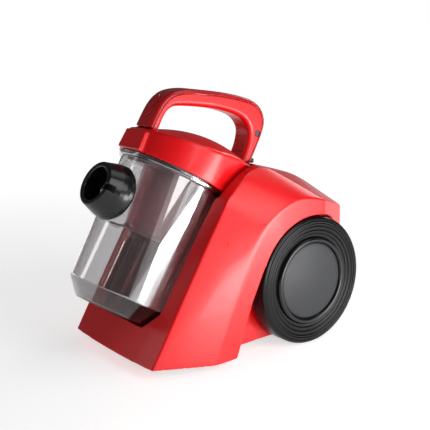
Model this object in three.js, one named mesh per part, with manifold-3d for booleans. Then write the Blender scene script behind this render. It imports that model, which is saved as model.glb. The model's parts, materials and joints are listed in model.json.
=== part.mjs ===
// Compact bagless cyclone vacuum cleaner, cylinder type, built as an assembly.
// Millimetres, +Z up. The hose port faces -Y, the rear panel +Y, and X is across.
// The origin is on the floor, under the middle of the whole machine.

import * as THREE from 'three';
import { ConvexGeometry } from 'three/addons/geometries/ConvexGeometry.js';
import { mergeVertices } from 'three/addons/utils/BufferGeometryUtils.js';
import Module from 'manifold-3d';

const wasm = await Module();
wasm.setup();

// ---- Driving dimensions ----

const GAP = 0.3; // clearance between neighbouring pieces
const WALL = 3; // moulded wall thickness
const ROUND = 32; // segments of a large circle
const SMALL = 16; // segments of a small circle

// Road wheels
const WHEEL_R = 75;
const WHEEL_Y = 85;
const WHEEL_OUTER_X = 99.3;
const WHEEL_WIDTH = 23;
const WHEEL_INNER_X = WHEEL_OUTER_X - WHEEL_WIDTH;
const TYRE_INNER_R = 67.5;
const TRIM_INNER_R = 45;
const TRIM_OUTER_R = 51;
const AXLE_R = 5;

// Outer body, given as lines of [y, z] at a fixed half width; the shoulder is [x, y, z]
const NOSE_BOTTOM_Z = 12;
const FACE_X = 80;
const FLARE_X = 99;
const RIDGE_X = 30;
const REAR_X = 70;
const FACE_BOW = 4.2;
const FACE_EDGE = [[-125.3, 12], [-108.8, 39.9], [-64.9, 116.5], [-38.6, 159.6], [-25.3, 180.4]];
const SHOULDER = [[76, -11.2, 192.2], [72, 5.8, 203.7], [68, 20, 208.4], [66, 31, 209.2], [66, 42, 207.6]];
const FLARE_EDGE = [[-57, 7], [-35.4, 56.3], [-11, 116.4], [-1, 135], [11.1, 150.6], [26, 162.5]];
const HAUNCH_EDGE = [[42.6, 170.7], [61.9, 175.6], [82, 173.8], [100.9, 168.6]];
const TOP_RIDGE = [
  [40, 205.5], [67, 200], [90, 195.3], [108, 190.3], [122, 184.3], [138, 175], [152, 163.5],
];
const REAR_EDGE = [[156, 150.8], [157, 127], [149, 14]];
const REAR_MIDDLE = [[165, 149], [166, 127], [157, 14]];
const SHELL_CENTRE = new THREE.Vector3(0, 20, 100);
const SHELL_SCALE = 0.97; // the inner surface of the shell against the outer
const FLOOR_SCALE = 0.963; // the floor pan, which fits inside that
const FLOOR_Z = 13;
const WELL_X = 72; // inner wall of the wheel well
const WELL_R = WHEEL_R + 2.5;
const WELL_EDGE = [[-27, -20], [-27, 7], [-6, 66], [12, 104], [85, 104]];
const WELL_REAR = [[85, 128], [157, 128], [260, 128], [260, -20]];

// Dust cup, in its own frame: Z up its axis, -Y towards the hose
const CUP_TILT = THREE.MathUtils.degToRad(30.74);
const CUP_BASE = new THREE.Vector3(0, -115.7, 74.4);
const CUP_R = 57.4;
const CUP_TOP_R = 60.2;
const CUP_HEIGHT = 140;
const CUP_FOOT_R = 41;
const CUP_FOOT_DROP = 20;
const CUP_WALL = 2.4;
const RIM_R = 63.6;
const RIM_BOTTOM = 141;
const RIM_TOP = 145.6;
const RECESS_GAP = 2.4;

// Hose port
const PORT_Z = 96;
const PORT_MOUTH_Y = -86;
const PORT_R = 24.5;
const PORT_ROOT_R = 31;
const PORT_BORE_R = 18.5;

// Lid
const LID_R = 65;
const LID_BOTTOM = RIM_TOP + GAP;
const LID_TAIL = 22; // how far the lid's top reaches back
const LID_TAIL_R = 61;
const LID_FRONT_TOP = 172;
const LID_SLOPE = 0.155;
const LID_DOME = 15;

// Carrying handle: its outer and inner lines in [y, z], from front to rear
const HANDLE_OUTER = [
  [-90, 239], [-84, 250], [-75.5, 265], [-66, 279], [-56, 288], [-45, 292.6], [-28, 294], [-8, 292],
  [23, 287.5], [50, 281.5], [68, 275], [79, 264.5], [83.5, 251], [79.5, 236], [72, 221], [62, 203],
];
const HANDLE_INNER = [
  [-80, 233], [-66.5, 254], [-59, 267], [-51, 274.2], [-40, 276], [-10, 273], [14, 269], [38, 262],
  [51, 254.5], [58.5, 243], [57.5, 230], [52, 216], [44, 202],
];
const HANDLE_HALF_WIDTH = 15;
const HANDLE_CAP = 5;

// Caster under the nose
const CASTER_Y = -64;
const CASTER_TRAIL = 5;
const CASTER_R = 11;
const CASTER_WIDTH = 12;

// Motor and cord reel
const MOTOR = new THREE.Vector3(-17, 36, 72);
const FAN_R = 42;
const CAN_R = 33;
const MOTOR_HOUSING_R = 50;
const REEL = new THREE.Vector3(39, 88, 72);
const REEL_R = 50;
const REEL_WIDTH = 24;

// Rear panel
const GRILLE_HALF_WIDTH = 46;
const GRILLE_Z = [44, 108];
const GRILLE_Y = 153;
const BUTTON_X = 46;
const BUTTON_Z = 138;
const BUTTON_R = 11;

// ---- Materials ----

const surface = (color, roughness, metalness = 0, opacity = 1) =>
  new THREE.MeshStandardMaterial({ color, roughness, metalness, opacity, transparent: opacity < 1 });

const RED = surface(0xc60b16, 0.22);
const DARK_RED = surface(0x7c060d, 0.3);
const BLACK = surface(0x0e0e10, 0.25);
const GREY = surface(0x333537, 0.45);
const RUBBER = surface(0x161617, 0.85);
const CLEAR = surface(0xd9d5d6, 0.05, 0, 0.3);
const ROSE = surface(0xc79aa0, 0.15, 0, 0.6);
const STEEL = surface(0xb9bcc0, 0.3, 1);
const PALE = surface(0xd8d8d4, 0.6);
const FOAM = surface(0x54585c, 0.95);
const COPPER = surface(0xb0642f, 0.4, 0.8);

// ---- Solids ----

const X = new THREE.Vector3(1, 0, 0);
const Y = new THREE.Vector3(0, 1, 0);
const Z = new THREE.Vector3(0, 0, 1);
const mirrored = [1, -1];

/** Signed volume of a merged, indexed triangle mesh. */
function signedVolume(points, index) {
  const [a, b, c] = [new THREE.Vector3(), new THREE.Vector3(), new THREE.Vector3()];
  let total = 0;
  for (let i = 0; i < index.length; i += 3) {
    a.fromArray(points, index[i] * 3);
    b.fromArray(points, index[i + 1] * 3);
    c.fromArray(points, index[i + 2] * 3);
    total += a.dot(b.cross(c));
  }
  return total;
}

/** A closed three.js geometry as a solid, with its faces turned outward. */
function solid(geometry) {
  const bare = new THREE.BufferGeometry();
  bare.setAttribute('position', geometry.getAttribute('position'));
  if (geometry.index) bare.setIndex(geometry.index);
  const merged = mergeVertices(bare, 1e-4);
  const points = merged.getAttribute('position').array;
  const index = [];
  const raw = merged.index.array;
  for (let i = 0; i < raw.length; i += 3) {
    const [p, q, r] = [raw[i], raw[i + 1], raw[i + 2]];
    if (p !== q && q !== r && r !== p) index.push(p, q, r);
  }
  if (signedVolume(points, index) < 0) index.reverse();
  const mesh = new wasm.Mesh({
    numProp: 3,
    vertProperties: Float32Array.from(points),
    triVerts: Uint32Array.from(index),
  });
  return new wasm.Manifold(mesh);
}

/** The mesh geometry of a solid. */
function geometryOf(body) {
  const mesh = body.getMesh();
  const geometry = new THREE.BufferGeometry();
  geometry.setAttribute('position', new THREE.BufferAttribute(mesh.vertProperties, 3));
  geometry.setIndex(new THREE.BufferAttribute(mesh.triVerts, 1));
  geometry.computeVertexNormals();
  return geometry;
}

const moved = (body, matrix) => solid(geometryOf(body).applyMatrix4(matrix));
const shifted = (body, x, y, z) => moved(body, new THREE.Matrix4().makeTranslation(x, y, z));
const flipped = (body) => moved(body, new THREE.Matrix4().makeScale(-1, 1, 1));
const joined = (...bodies) => bodies.reduce((sum, body) => sum.add(body));
const cut = (body, ...tools) => tools.reduce((rest, tool) => rest.subtract(tool), body);

/** Turns +Z to the given direction and moves the origin to a place. */
function placement(place, direction) {
  const turn = new THREE.Quaternion().setFromUnitVectors(Z, direction.clone().normalize());
  return new THREE.Matrix4().compose(place, turn, new THREE.Vector3(1, 1, 1));
}

/** A turned body from [radius, height] points, its axis along direction from place. */
function turned(profile, place, direction, segments = ROUND) {
  const points = profile.map(([r, h]) => new THREE.Vector2(r, h));
  const lathe = new THREE.LatheGeometry(points, segments);
  lathe.rotateX(Math.PI / 2);
  lathe.applyMatrix4(placement(place, direction));
  return solid(lathe);
}

/** A plain cylinder that starts at place and runs along direction. */
const rod = (radius, length, place, direction, segments = SMALL) =>
  turned([[0, 0], [radius, 0], [radius, length], [0, length]], place, direction, segments);

/** A round tube that starts at place and runs along direction. */
const pipe = (outer, inner, length, place, direction, segments = ROUND) =>
  turned(
    [[inner, 0], [outer, 0], [outer, length], [inner, length], [inner, 0]],
    place, direction, segments,
  );

/** A box between two corners. */
function block(low, high) {
  const size = high.map((value, i) => value - low[i]);
  const middle = high.map((value, i) => (value + low[i]) / 2);
  return solid(new THREE.BoxGeometry(...size).translate(...middle));
}

/** The convex body around a list of [x, y, z] points. */
const hull = (points) => solid(new ConvexGeometry(points.map((p) => new THREE.Vector3(...p))));

/** An outline in [y, z] drawn out along X from x0 to x1. */
function profileX(outline, x0, x1) {
  const shape = new THREE.Shape(outline.map(([y, z]) => new THREE.Vector2(y, z)));
  const geometry = new THREE.ExtrudeGeometry(shape, { depth: x1 - x0, bevelEnabled: false });
  const axes = new THREE.Matrix4().makeBasis(Y, Z, X);
  return solid(geometry.applyMatrix4(axes).translate(x0, 0, 0));
}

/** A round bar along a smooth curve through points. */
function bar(points, radius, steps = 24, segments = 16) {
  const path = new THREE.CatmullRomCurve3(points.map((p) => new THREE.Vector3(...p)));
  const shape = new THREE.Shape().absarc(0, 0, radius, 0, Math.PI * 2);
  const options = { steps, curveSegments: segments, extrudePath: path, bevelEnabled: false };
  return solid(new THREE.ExtrudeGeometry(shape, options));
}

/** A coil spring along direction, made of round wire. */
function spring(radius, wire, length, turns, place, direction) {
  const steps = turns * 8;
  const points = [];
  for (let i = 0; i <= steps; i++) {
    const angle = (i / steps) * turns * Math.PI * 2;
    const height = wire + ((length - 2 * wire) * i) / steps;
    points.push([radius * Math.cos(angle), radius * Math.sin(angle), height]);
  }
  return moved(bar(points, wire, steps, 3), placement(place, direction));
}

/** Points of a circle in a level plane. */
function ring(radius, y, z, segments = ROUND) {
  const points = [];
  for (let i = 0; i < segments; i++) {
    const angle = (i / segments) * Math.PI * 2;
    points.push([radius * Math.cos(angle), y + radius * Math.sin(angle), z]);
  }
  return points;
}

const cupFrame = new THREE.Matrix4()
  .makeTranslation(CUP_BASE.x, CUP_BASE.y, CUP_BASE.z)
  .multiply(new THREE.Matrix4().makeRotationX(-CUP_TILT));
const inCup = (body) => moved(body, cupFrame);
const at = (x, y, z) => new THREE.Vector3(x, y, z);

// ---- Assembly ----

const machine = new THREE.Group();
machine.name = 'cyclone_vacuum_cleaner';

function add(name, body, material) {
  const mesh = new THREE.Mesh(geometryOf(body), material);
  mesh.name = name;
  machine.add(mesh);
}

// ---- Outer shell ----

const bothSides = (line, x) => line.flatMap(([y, z]) => [[x, y, z], [-x, y, z]]);
const onMiddle = (line, bow = 0) => line.map(([y, z]) => [0, y - bow, z]);

const OUTER = hull([
  ...bothSides(FACE_EDGE, FACE_X),
  ...onMiddle(FACE_EDGE, FACE_BOW),
  ...SHOULDER.flatMap(([x, y, z]) => [[x, y, z], [-x, y, z]]),
  ...bothSides(FLARE_EDGE, FLARE_X),
  ...bothSides(HAUNCH_EDGE, FLARE_X),
  ...bothSides([[100.9, 120], [-25, 7.5]], FLARE_X),
  ...bothSides(TOP_RIDGE, RIDGE_X),
  ...bothSides(REAR_EDGE, REAR_X),
  ...onMiddle(REAR_MIDDLE),
]);

/** The outer body made smaller about its middle. */
function shrunk(scale) {
  const c = SHELL_CENTRE;
  const matrix = new THREE.Matrix4()
    .makeTranslation(c.x, c.y, c.z)
    .multiply(new THREE.Matrix4().makeScale(scale, scale, scale))
    .multiply(new THREE.Matrix4().makeTranslation(-c.x, -c.y, -c.z));
  return moved(OUTER, matrix);
}

/** The space of one wheel well, grown by a margin, from x0 outward. */
function well(margin, x0) {
  const front = WELL_EDGE.map(([y, z]) => [y < WHEEL_Y ? y - margin : y, z]);
  const rear = WELL_REAR.map(([y, z]) => [y, z > 0 ? z + margin : z]);
  const round = rod(WELL_R + margin, 60, at(x0, WHEEL_Y, WHEEL_R), X, ROUND);
  return joined(profileX([...front, ...rear], x0, x0 + 60), round);
}

/** Outline of the cup and lid recess, with walls grown by a margin. */
function recess(margin) {
  const foot = turned(
    [
      [0, -CUP_FOOT_DROP - RECESS_GAP - margin],
      [CUP_FOOT_R + RECESS_GAP + margin * 0.5, -CUP_FOOT_DROP - RECESS_GAP - margin],
      [CUP_R + RECESS_GAP + margin, -RECESS_GAP - margin * 0.4],
      [CUP_TOP_R + RECESS_GAP + margin, RIM_BOTTOM - 6 - margin],
      [RIM_R + RECESS_GAP + margin, RIM_BOTTOM - 3 - margin],
      [RIM_R + RECESS_GAP + margin, LID_BOTTOM + 4],
      [0, LID_BOTTOM + 4],
    ],
    at(0, 0, 0), Z,
  );
  const grow = RECESS_GAP + margin;
  const lid = hull([
    ...ring(LID_R + grow, 0, RIM_BOTTOM - 3 - margin),
    ...ring(LID_R + grow, 0, 260),
    ...ring(LID_TAIL_R + grow, 8, LID_BOTTOM - margin),
    ...ring(LID_TAIL_R + grow, LID_TAIL, LID_FRONT_TOP - margin),
    ...ring(LID_TAIL_R + grow, LID_TAIL, 260),
  ]);
  return inCup(joined(foot, lid));
}

const DUCT_HOLE = { y: 70, z: 168, r: 15 }; // in the cup's frame
const ductHole = inCup(rod(DUCT_HOLE.r, 40, at(0, DUCT_HOLE.y, DUCT_HOLE.z), Y, SMALL));

function bodyShell() {
  const inner = shrunk(SHELL_SCALE);
  const hollow = joined(inner, shifted(inner, 0, 0, -12));
  const skin = cut(OUTER, hollow);
  const recessWall = recess(WALL).intersect(OUTER);
  const wells = mirrored.map((side) => {
    const one = well(WALL, WELL_X - WALL);
    return side > 0 ? one : flipped(one);
  });
  const wellWall = joined(...wells).intersect(OUTER);
  const bosses = mirrored.map((side) =>
    rod(11, 9, at(side * (WELL_X - 1), WHEEL_Y, WHEEL_R), at(side, 0, 0)));
  const open = well(0, WELL_X);
  let shell = joined(skin, recessWall, wellWall);
  shell = joined(cut(shell, recess(0), open, flipped(open), ductHole), ...bosses);
  const axle = rod(AXLE_R + GAP, 200, at(-100, WHEEL_Y, WHEEL_R), X);
  const bottom = block([-68, -112, -10], [68, 150, FLOOR_Z + 5]);
  return cut(shell, axle, bottom, ...rearOpenings());
}

function rearOpenings() {
  const [low, high] = GRILLE_Z;
  const grille = block([-GRILLE_HALF_WIDTH, 140, low], [GRILLE_HALF_WIDTH, 200, high]);
  const buttons = mirrored.map((side) =>
    rod(BUTTON_R + GAP, 60, at(side * BUTTON_X, 140, BUTTON_Z), Y, 32));
  const cord = rod(9, 60, at(0, 140, BUTTON_Z), Y);
  return [grille, ...buttons, cord];
}

const SHELL = bodyShell();
add('body_shell', SHELL, RED);

// ---- Floor pan and caster ----

const POCKET_R = 18;
const POCKET_TOP = 27.5;
const screwSpots = [[-56, -88], [56, -88], [-58, 140], [58, 140]];

function floorPan() {
  const slab = block([-90, -112, FLOOR_Z], [90, 160, FLOOR_Z + WALL]);
  const wellCut = well(WALL + GAP, WELL_X - WALL - GAP);
  const fit = shrunk(FLOOR_SCALE);
  const space = joined(fit, shifted(fit, 0, 0, -8));
  const plate = cut(space.intersect(slab), wellCut, flipped(wellCut));
  const pocket = rod(POCKET_R + WALL, POCKET_TOP + WALL - FLOOR_Z, at(0, CASTER_Y, FLOOR_Z), Z, 32);
  const hollow = rod(POCKET_R, POCKET_TOP - FLOOR_Z + 5, at(0, CASTER_Y, FLOOR_Z - 5), Z, 32);
  const stem = rod(4 + GAP, 20, at(0, CASTER_Y, POCKET_TOP - 2), Z);
  const ribs = [-40, 6].map((x) => block([x, 40, FLOOR_Z], [x + 2.5, 124, 24]));
  const holes = screwSpots.map(([x, y]) => rod(2.3, 20, at(x, y, 5), Z, 12));
  const vents = [20, 28, 36].map((y) => block([-30, y, 5], [30, y + 3, 30]));
  const cradle = rod(MOTOR_HOUSING_R + GAP, 120, at(MOTOR.x, 20, MOTOR.z), Y, ROUND);
  return cut(joined(plate, pocket, ...ribs), hollow, stem, ...holes, ...vents, cradle);
}
add('floor_pan', floorPan(), GREY);

screwSpots.forEach(([x, y], i) => {
  const head = rod(4.2, 1.8, at(x, y, FLOOR_Z - 1.8 - 0.1), Z, 16);
  const shank = rod(1.9, 8, at(x, y, FLOOR_Z - 0.5), Z, 12);
  const slot = block([x - 3, y - 0.5, FLOOR_Z - 3], [x + 3, y + 0.5, FLOOR_Z - 1.2]);
  add(`floor_screw_${i + 1}`, cut(joined(head, shank), slot), STEEL);
});

function casterFork() {
  const disc = rod(15, 3, at(0, CASTER_Y, 23.7), Z, 28);
  const stem = rod(4, 9, at(0, CASTER_Y, 26), Z);
  const wheelY = CASTER_Y + CASTER_TRAIL;
  const arms = mirrored.map((side) => {
    const outline = [[wheelY - 5, 24], [wheelY - 4, 8], [wheelY + 4, 8], [wheelY + 6, 24]];
    const x0 = side > 0 ? CASTER_WIDTH / 2 + 0.8 : -CASTER_WIDTH / 2 - 3.3;
    return profileX(outline, x0, x0 + 2.5);
  });
  const bore = rod(1.5 + GAP, 30, at(-15, wheelY, CASTER_R), X, 12);
  return cut(joined(disc, stem, ...arms), bore);
}
add('caster_fork', casterFork(), BLACK);

const casterHub = at(-CASTER_WIDTH / 2, CASTER_Y + CASTER_TRAIL, CASTER_R);
add('caster_wheel', turned(
  [
    [1.5 + GAP, 0], [CASTER_R - 2, 0], [CASTER_R, 2],
    [CASTER_R, CASTER_WIDTH - 2], [CASTER_R - 2, CASTER_WIDTH],
    [1.5 + GAP, CASTER_WIDTH], [1.5 + GAP, 0],
  ],
  casterHub, X, 32,
), RUBBER);
add('caster_pin', rod(1.5, 20, at(-10, casterHub.y, CASTER_R), X, 12), STEEL);
add('caster_clip', pipe(7, 4 + GAP, 1.5, at(0, CASTER_Y, POCKET_TOP + WALL + GAP), Z, 20), STEEL);

// ---- Road wheels ----

/** Places a part modelled from the wheel's inner face outward. */
function wheelPart(profile, side, segments = ROUND) {
  return turned(profile, at(side * WHEEL_INNER_X, WHEEL_Y, WHEEL_R), at(side, 0, 0), segments);
}

const tyreProfile = [
  [TYRE_INNER_R, 0], [WHEEL_R - 2, 0], [WHEEL_R, 2.5], [WHEEL_R, 18.5],
  [WHEEL_R - 3, 22], [TYRE_INNER_R, 22.4], [TYRE_INNER_R, 0],
];
const rimOuter = TYRE_INNER_R - GAP;
const rimProfile = [
  [AXLE_R + GAP, 6], [12, 6], [14, 14], [52, 14], [60, 2], [rimOuter, 2], [rimOuter, 22.2],
  [64, 22], [63.5, 21.2], [60, 20.8], [59.5, 19.8], [TRIM_OUTER_R + GAP, 19],
  [TRIM_OUTER_R + GAP, 17], [AXLE_R + GAP, 17], [AXLE_R + GAP, 6],
];
const trimProfile = [
  [TRIM_INNER_R, 17 + GAP], [TRIM_OUTER_R, 17 + GAP], [TRIM_OUTER_R, 20.6],
  [TRIM_OUTER_R - 3, 22.9], [TRIM_INNER_R, 20.8],
  [TRIM_INNER_R, 17 + GAP],
];
const capR = TRIM_INNER_R - GAP;
const capProfile = [
  [0, 18.2], [capR, 18.2], [capR - 0.6, 20.4], [34, 21.5], [18, 22.6], [0, 23],
];

for (const side of mirrored) {
  const tag = side > 0 ? 'left' : 'right';
  const axleStart = at(side * (WELL_X - WALL + 0.2), WHEEL_Y, WHEEL_R);
  add(`wheel_tyre_${tag}`, wheelPart(tyreProfile, side, 48), RUBBER);
  add(`wheel_rim_${tag}`, wheelPart(rimProfile, side), GREY);
  add(`wheel_trim_${tag}`, wheelPart(trimProfile, side), BLACK);
  add(`wheel_cap_${tag}`, wheelPart(capProfile, side), GREY);
  add(`wheel_axle_${tag}`, rod(AXLE_R, 24.6, axleStart, at(side, 0, 0)), STEEL);
  add(`axle_washer_${tag}`, wheelPart(
    [[AXLE_R + GAP, 4.1], [10, 4.1], [10, 5.7], [AXLE_R + GAP, 5.7], [AXLE_R + GAP, 4.1]],
    side, SMALL,
  ), STEEL);
}

// ---- Dust cup ----

const cupOuter = [
  [0, -CUP_FOOT_DROP], [CUP_FOOT_R, -CUP_FOOT_DROP], [CUP_R - 1, -2], [CUP_R, 0],
  [CUP_TOP_R, CUP_HEIGHT], [0, CUP_HEIGHT],
];
const cupInner = [
  [0, CUP_WALL - CUP_FOOT_DROP], [CUP_FOOT_R - 1.6, CUP_WALL - CUP_FOOT_DROP],
  [CUP_R - CUP_WALL - 0.4, -1], [CUP_TOP_R - CUP_WALL, CUP_HEIGHT + 5], [0, CUP_HEIGHT + 5],
];

function dustCup() {
  const walls = cut(turned(cupOuter, at(0, 0, 0), Z), turned(cupInner, at(0, 0, 0), Z));
  const portHole = rod(PORT_ROOT_R - 5 + GAP, 60, at(0, -30, PORT_Z), at(0, -1, 0), 32);
  return cut(walls, portHole);
}
add('dust_cup', inCup(dustCup()), CLEAR);

add('cup_rim', inCup(turned(
  [
    [CUP_TOP_R - CUP_WALL, CUP_HEIGHT + GAP], [RIM_R - 1, CUP_HEIGHT + GAP], [RIM_R, RIM_BOTTOM + 0.6],
    [RIM_R, RIM_TOP - 0.8], [RIM_R - 0.8, RIM_TOP], [CUP_TOP_R - CUP_WALL, RIM_TOP],
    [CUP_TOP_R - CUP_WALL, CUP_HEIGHT + GAP],
  ],
  at(0, 0, 0), Z,
)), BLACK);

/** The port is turned about the hose axis, which runs out of the front of the cup. */
function hosePort() {
  const length = -PORT_MOUTH_Y;
  const outer = turned(
    [
      [0, 50], [PORT_ROOT_R - 5, 50], [PORT_ROOT_R - 5, 55], [PORT_ROOT_R, 55.5],
      [PORT_ROOT_R + 0.4, 60], [PORT_ROOT_R - 1.2, 66], [PORT_R + 2, 76], [PORT_R + 0.6, 82],
      [PORT_R, length], [0, length],
    ],
    at(0, 0, PORT_Z), at(0, -1, 0),
  );
  const cupSpace = turned(cupOuter, at(0, 0, 0), Z);
  const grown = moved(cupSpace, new THREE.Matrix4().makeScale(1 + GAP / CUP_R, 1 + GAP / CUP_R, 1));
  const collar = rod(PORT_ROOT_R - 5, 30, at(0, -40, PORT_Z), at(0, -1, 0), 32);
  const flange = cut(outer, cut(grown, collar));
  const bore = rod(PORT_BORE_R, 80, at(0, -30, PORT_Z), at(0, -1, 0), 36);
  const inner = PORT_BORE_R - 3;
  const slot = block([inner, PORT_MOUTH_Y - 1, PORT_Z - 3], [PORT_R + 5, PORT_MOUTH_Y + 9, PORT_Z + 3]);
  const catchSlot = block(
    [inner, PORT_MOUTH_Y + 6, PORT_Z - 3],
    [PORT_R - 2.5, PORT_MOUTH_Y + 12, PORT_Z + 9],
  );
  return cut(flange, bore, slot, catchSlot);
}
add('hose_port', inCup(hosePort()), BLACK);

const flapY = -64;
add('inlet_flap', inCup(joined(
  rod(PORT_BORE_R - 2.2, 1.6, at(0, flapY, PORT_Z - 0.6), Y, 32),
  block([-8, flapY, PORT_Z + 12], [8, flapY + 3, PORT_Z + PORT_BORE_R - 3.4]),
)), RUBBER);

// ---- Cyclone insert ----

const CONE_TOP = 139;
const CONE_BOTTOM = 66;
function cycloneCone() {
  return turned(
    [
      [22, CONE_BOTTOM], [44, CONE_BOTTOM], [44.6, CONE_BOTTOM + 2], [25, CONE_BOTTOM + 3.6],
      [33, CONE_TOP - 3], [54, CONE_TOP - 2.4], [54, CONE_TOP], [31, CONE_TOP],
      [22, CONE_BOTTOM + 3], [22, CONE_BOTTOM],
    ],
    at(0, 0, 0), Z,
  );
}
add('cyclone_cone', inCup(cycloneCone()), ROSE);

const POST_TOP = 64;
function centrePost() {
  const foot = CUP_WALL + GAP - CUP_FOOT_DROP;
  const core = rod(10, POST_TOP - foot, at(0, 0, foot), Z);
  const fins = [0, 1, 2].map((i) => {
    const fin = block([-1.3, 0, -2], [1.3, 17, POST_TOP - 4]);
    return moved(fin, new THREE.Matrix4().makeRotationZ((i * Math.PI * 2) / 3));
  });
  return joined(core, ...fins);
}
add('centre_post', inCup(centrePost()), DARK_RED);

add('filter_frame', inCup(joined(
  pipe(52, 49.6, 15, at(0, 0, CONE_TOP + GAP), Z),
  pipe(52, 29, 2, at(0, 0, CONE_TOP + GAP), Z),
)), GREY);
add('filter_foam', inCup(rod(49.2, 12.4, at(0, 0, CONE_TOP + 2.6), Z, 40)), FOAM);

// ---- Lid ----

const lidTop = (y) => LID_FRONT_TOP + LID_SLOPE * (LID_R + y);

/** The lid's outside: a round foot, a longer top, and a low dome. */
function lidBlank(shrink, bottom) {
  const edge = (radius, y) => ring(radius, y, 0).map(([px, py]) => [px, py, lidTop(py) - shrink]);
  const foot = Math.min(shrink, 1) * 2;
  const dome = [0.9, 0.66, 0.34].flatMap((k) =>
    ring((LID_R - shrink - 3) * k, LID_TAIL / 2, 0, 24).map(([px, py]) =>
      [px, py, lidTop(py) - shrink + LID_DOME * (1 - k * k) ** 0.8]));
  return hull([
    ...ring(LID_R - shrink, 0, bottom),
    ...ring(LID_TAIL_R - shrink, 6, bottom + foot),
    ...edge(LID_R - shrink, 0),
    ...edge(LID_TAIL_R - shrink, LID_TAIL),
    ...dome,
  ]);
}

const PLATE_TOP = 176;
const latchPlate = hull(mirrored.flatMap((side) => [
  [side * 21, -LID_R - 2.4, LID_BOTTOM], [side * 18.5, -LID_R - 2.4, PLATE_TOP],
  [side * 21, -LID_R + 12, LID_BOTTOM], [side * 18.5, -LID_R + 15, PLATE_TOP],
]));

/** Points along a line of [y, z], moved sideways towards the inside of the handle. */
function handleLine(line, inset, steps = 30) {
  const curve = new THREE.CatmullRomCurve3(line.map(([y, z]) => at(0, y, z)));
  const points = [];
  for (let i = 0; i <= steps; i++) {
    const p = curve.getPoint(i / steps);
    const t = curve.getTangent(i / steps);
    points.push([p.y + t.z * inset, p.z - t.y * inset]);
  }
  return points;
}

/** The part of the handle between two side lines. */
const handleBand = (outer, inner, halfWidth) =>
  profileX([...outer, ...inner.reverse()], -halfWidth, halfWidth);

const handleGrip = handleBand(
  handleLine(HANDLE_OUTER, HANDLE_CAP + GAP), handleLine(HANDLE_INNER, 0, 24), HANDLE_HALF_WIDTH,
);
const handleCapBand = handleBand(
  handleLine(HANDLE_OUTER, 0), handleLine(HANDLE_OUTER, HANDLE_CAP), HANDLE_HALF_WIDTH,
);
const belowLid = inCup(block([-40, -120, 60], [40, 0, LID_BOTTOM]));
const aboveLid = (body) => cut(body, inCup(lidBlank(0, LID_BOTTOM)), belowLid);

const buttonPlace = at(0, -61.5, 274);
const buttonOut = at(0, -0.77, 0.64).normalize();
const buttonPocket = moved(block([-7, -15, -6], [7, 15, 20]), placement(buttonPlace, buttonOut));

function lid() {
  const walls = cut(lidBlank(0, LID_BOTTOM), lidBlank(WALL, LID_BOTTOM - 6));
  const plate = latchPlate.intersect(block([-40, -90, LID_BOTTOM], [40, -LID_R + 14, 190]));
  const inside = lidBlank(WALL, LID_BOTTOM - 6);
  const shell = inCup(joined(walls, cut(plate, inside)));
  const grip = cut(handleGrip, inCup(inside), belowLid);
  const capSpace = cut(handleBand(
    handleLine(HANDLE_OUTER, -1), handleLine(HANDLE_OUTER, HANDLE_CAP + GAP), HANDLE_HALF_WIDTH + 1,
  ), inCup(joined(lidBlank(0, LID_BOTTOM), plate)));
  return cut(joined(shell, grip), capSpace, ductHole, buttonPocket, screwHole, latchHole);
}

const screwHole = rod(3.6, 12, at(HANDLE_HALF_WIDTH - 5, 70.5, 238), X, 16);
const LATCH = { halfWidth: 8, front: 44, rear: 71, bottom: 204.4, top: 207.4, tip: 202.2 };
const latchHole = block(
  [-LATCH.halfWidth - GAP, LATCH.front - 4, LATCH.bottom - GAP],
  [LATCH.halfWidth + GAP, LATCH.rear, LATCH.top + GAP],
);

add('lid', lid(), RED);

const capBody = cut(
  aboveLid(handleCapBand),
  inCup(moved(latchPlate, new THREE.Matrix4().makeScale(1.01, 1.005, 1.004))), buttonPocket, latchHole,
);
add('handle_cap', capBody, DARK_RED);

add('lid_gasket', inCup(pipe(57, 54.5, 8, at(0, 0, RIM_TOP - 3), Z)), RUBBER);
add('handle_screw', cut(
  rod(3.2, 4, at(HANDLE_HALF_WIDTH - 4.6, 70.5, 238), X, 16),
  block([HANDLE_HALF_WIDTH - 1.6, 68.5, 237.6], [HANDLE_HALF_WIDTH, 72.5, 238.4]),
), STEEL);

/** A pad with a hollow stub behind it, which takes the end of its spring. */
function releaseButton() {
  const pad = block([-6.6, -14.6, 3], [6.6, 14.6, 7.5]);
  const stub = block([-4.4, -6, -1], [4.4, 6, 4]);
  const springSeat = rod(3.4, 5, at(0, 0, -2), Z, 20);
  return moved(cut(joined(pad, stub), springSeat), placement(buttonPlace, buttonOut));
}
add('release_button', releaseButton(), DARK_RED);

const springFoot = buttonPlace.clone().addScaledVector(buttonOut, -5.7);
add('release_spring', spring(2.4, 0.5, 4.4, 3, springFoot, buttonOut), STEEL);
add('latch_hook', joined(
  block([-LATCH.halfWidth, LATCH.front, LATCH.bottom], [LATCH.halfWidth, LATCH.rear, LATCH.top]),
  block([-LATCH.halfWidth, LATCH.rear - 4, LATCH.tip], [LATCH.halfWidth, LATCH.rear, LATCH.top]),
), BLACK);

// ---- Air duct ----

const ductStart = at(0, DUCT_HOLE.y + 21, DUCT_HOLE.z).applyMatrix4(cupFrame);
const ductLine = [
  [0, ductStart.y, ductStart.z], [0, ductStart.y + 6, ductStart.z - 9], [-4, 40, 149], [-13, 12, 121],
  [-17, 4, 92], [-17, 8, 76], [-17, 20, 72], [MOTOR.x, MOTOR.y - 5.5, 72],
];
add('air_duct', cut(bar(ductLine, 13, 14, 6), bar([
  [0, ductStart.y - 4, ductStart.z + 2.4], ...ductLine, [MOTOR.x, MOTOR.y, 72],
], 11, 16, 6)), GREY);

// ---- Motor ----

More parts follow.
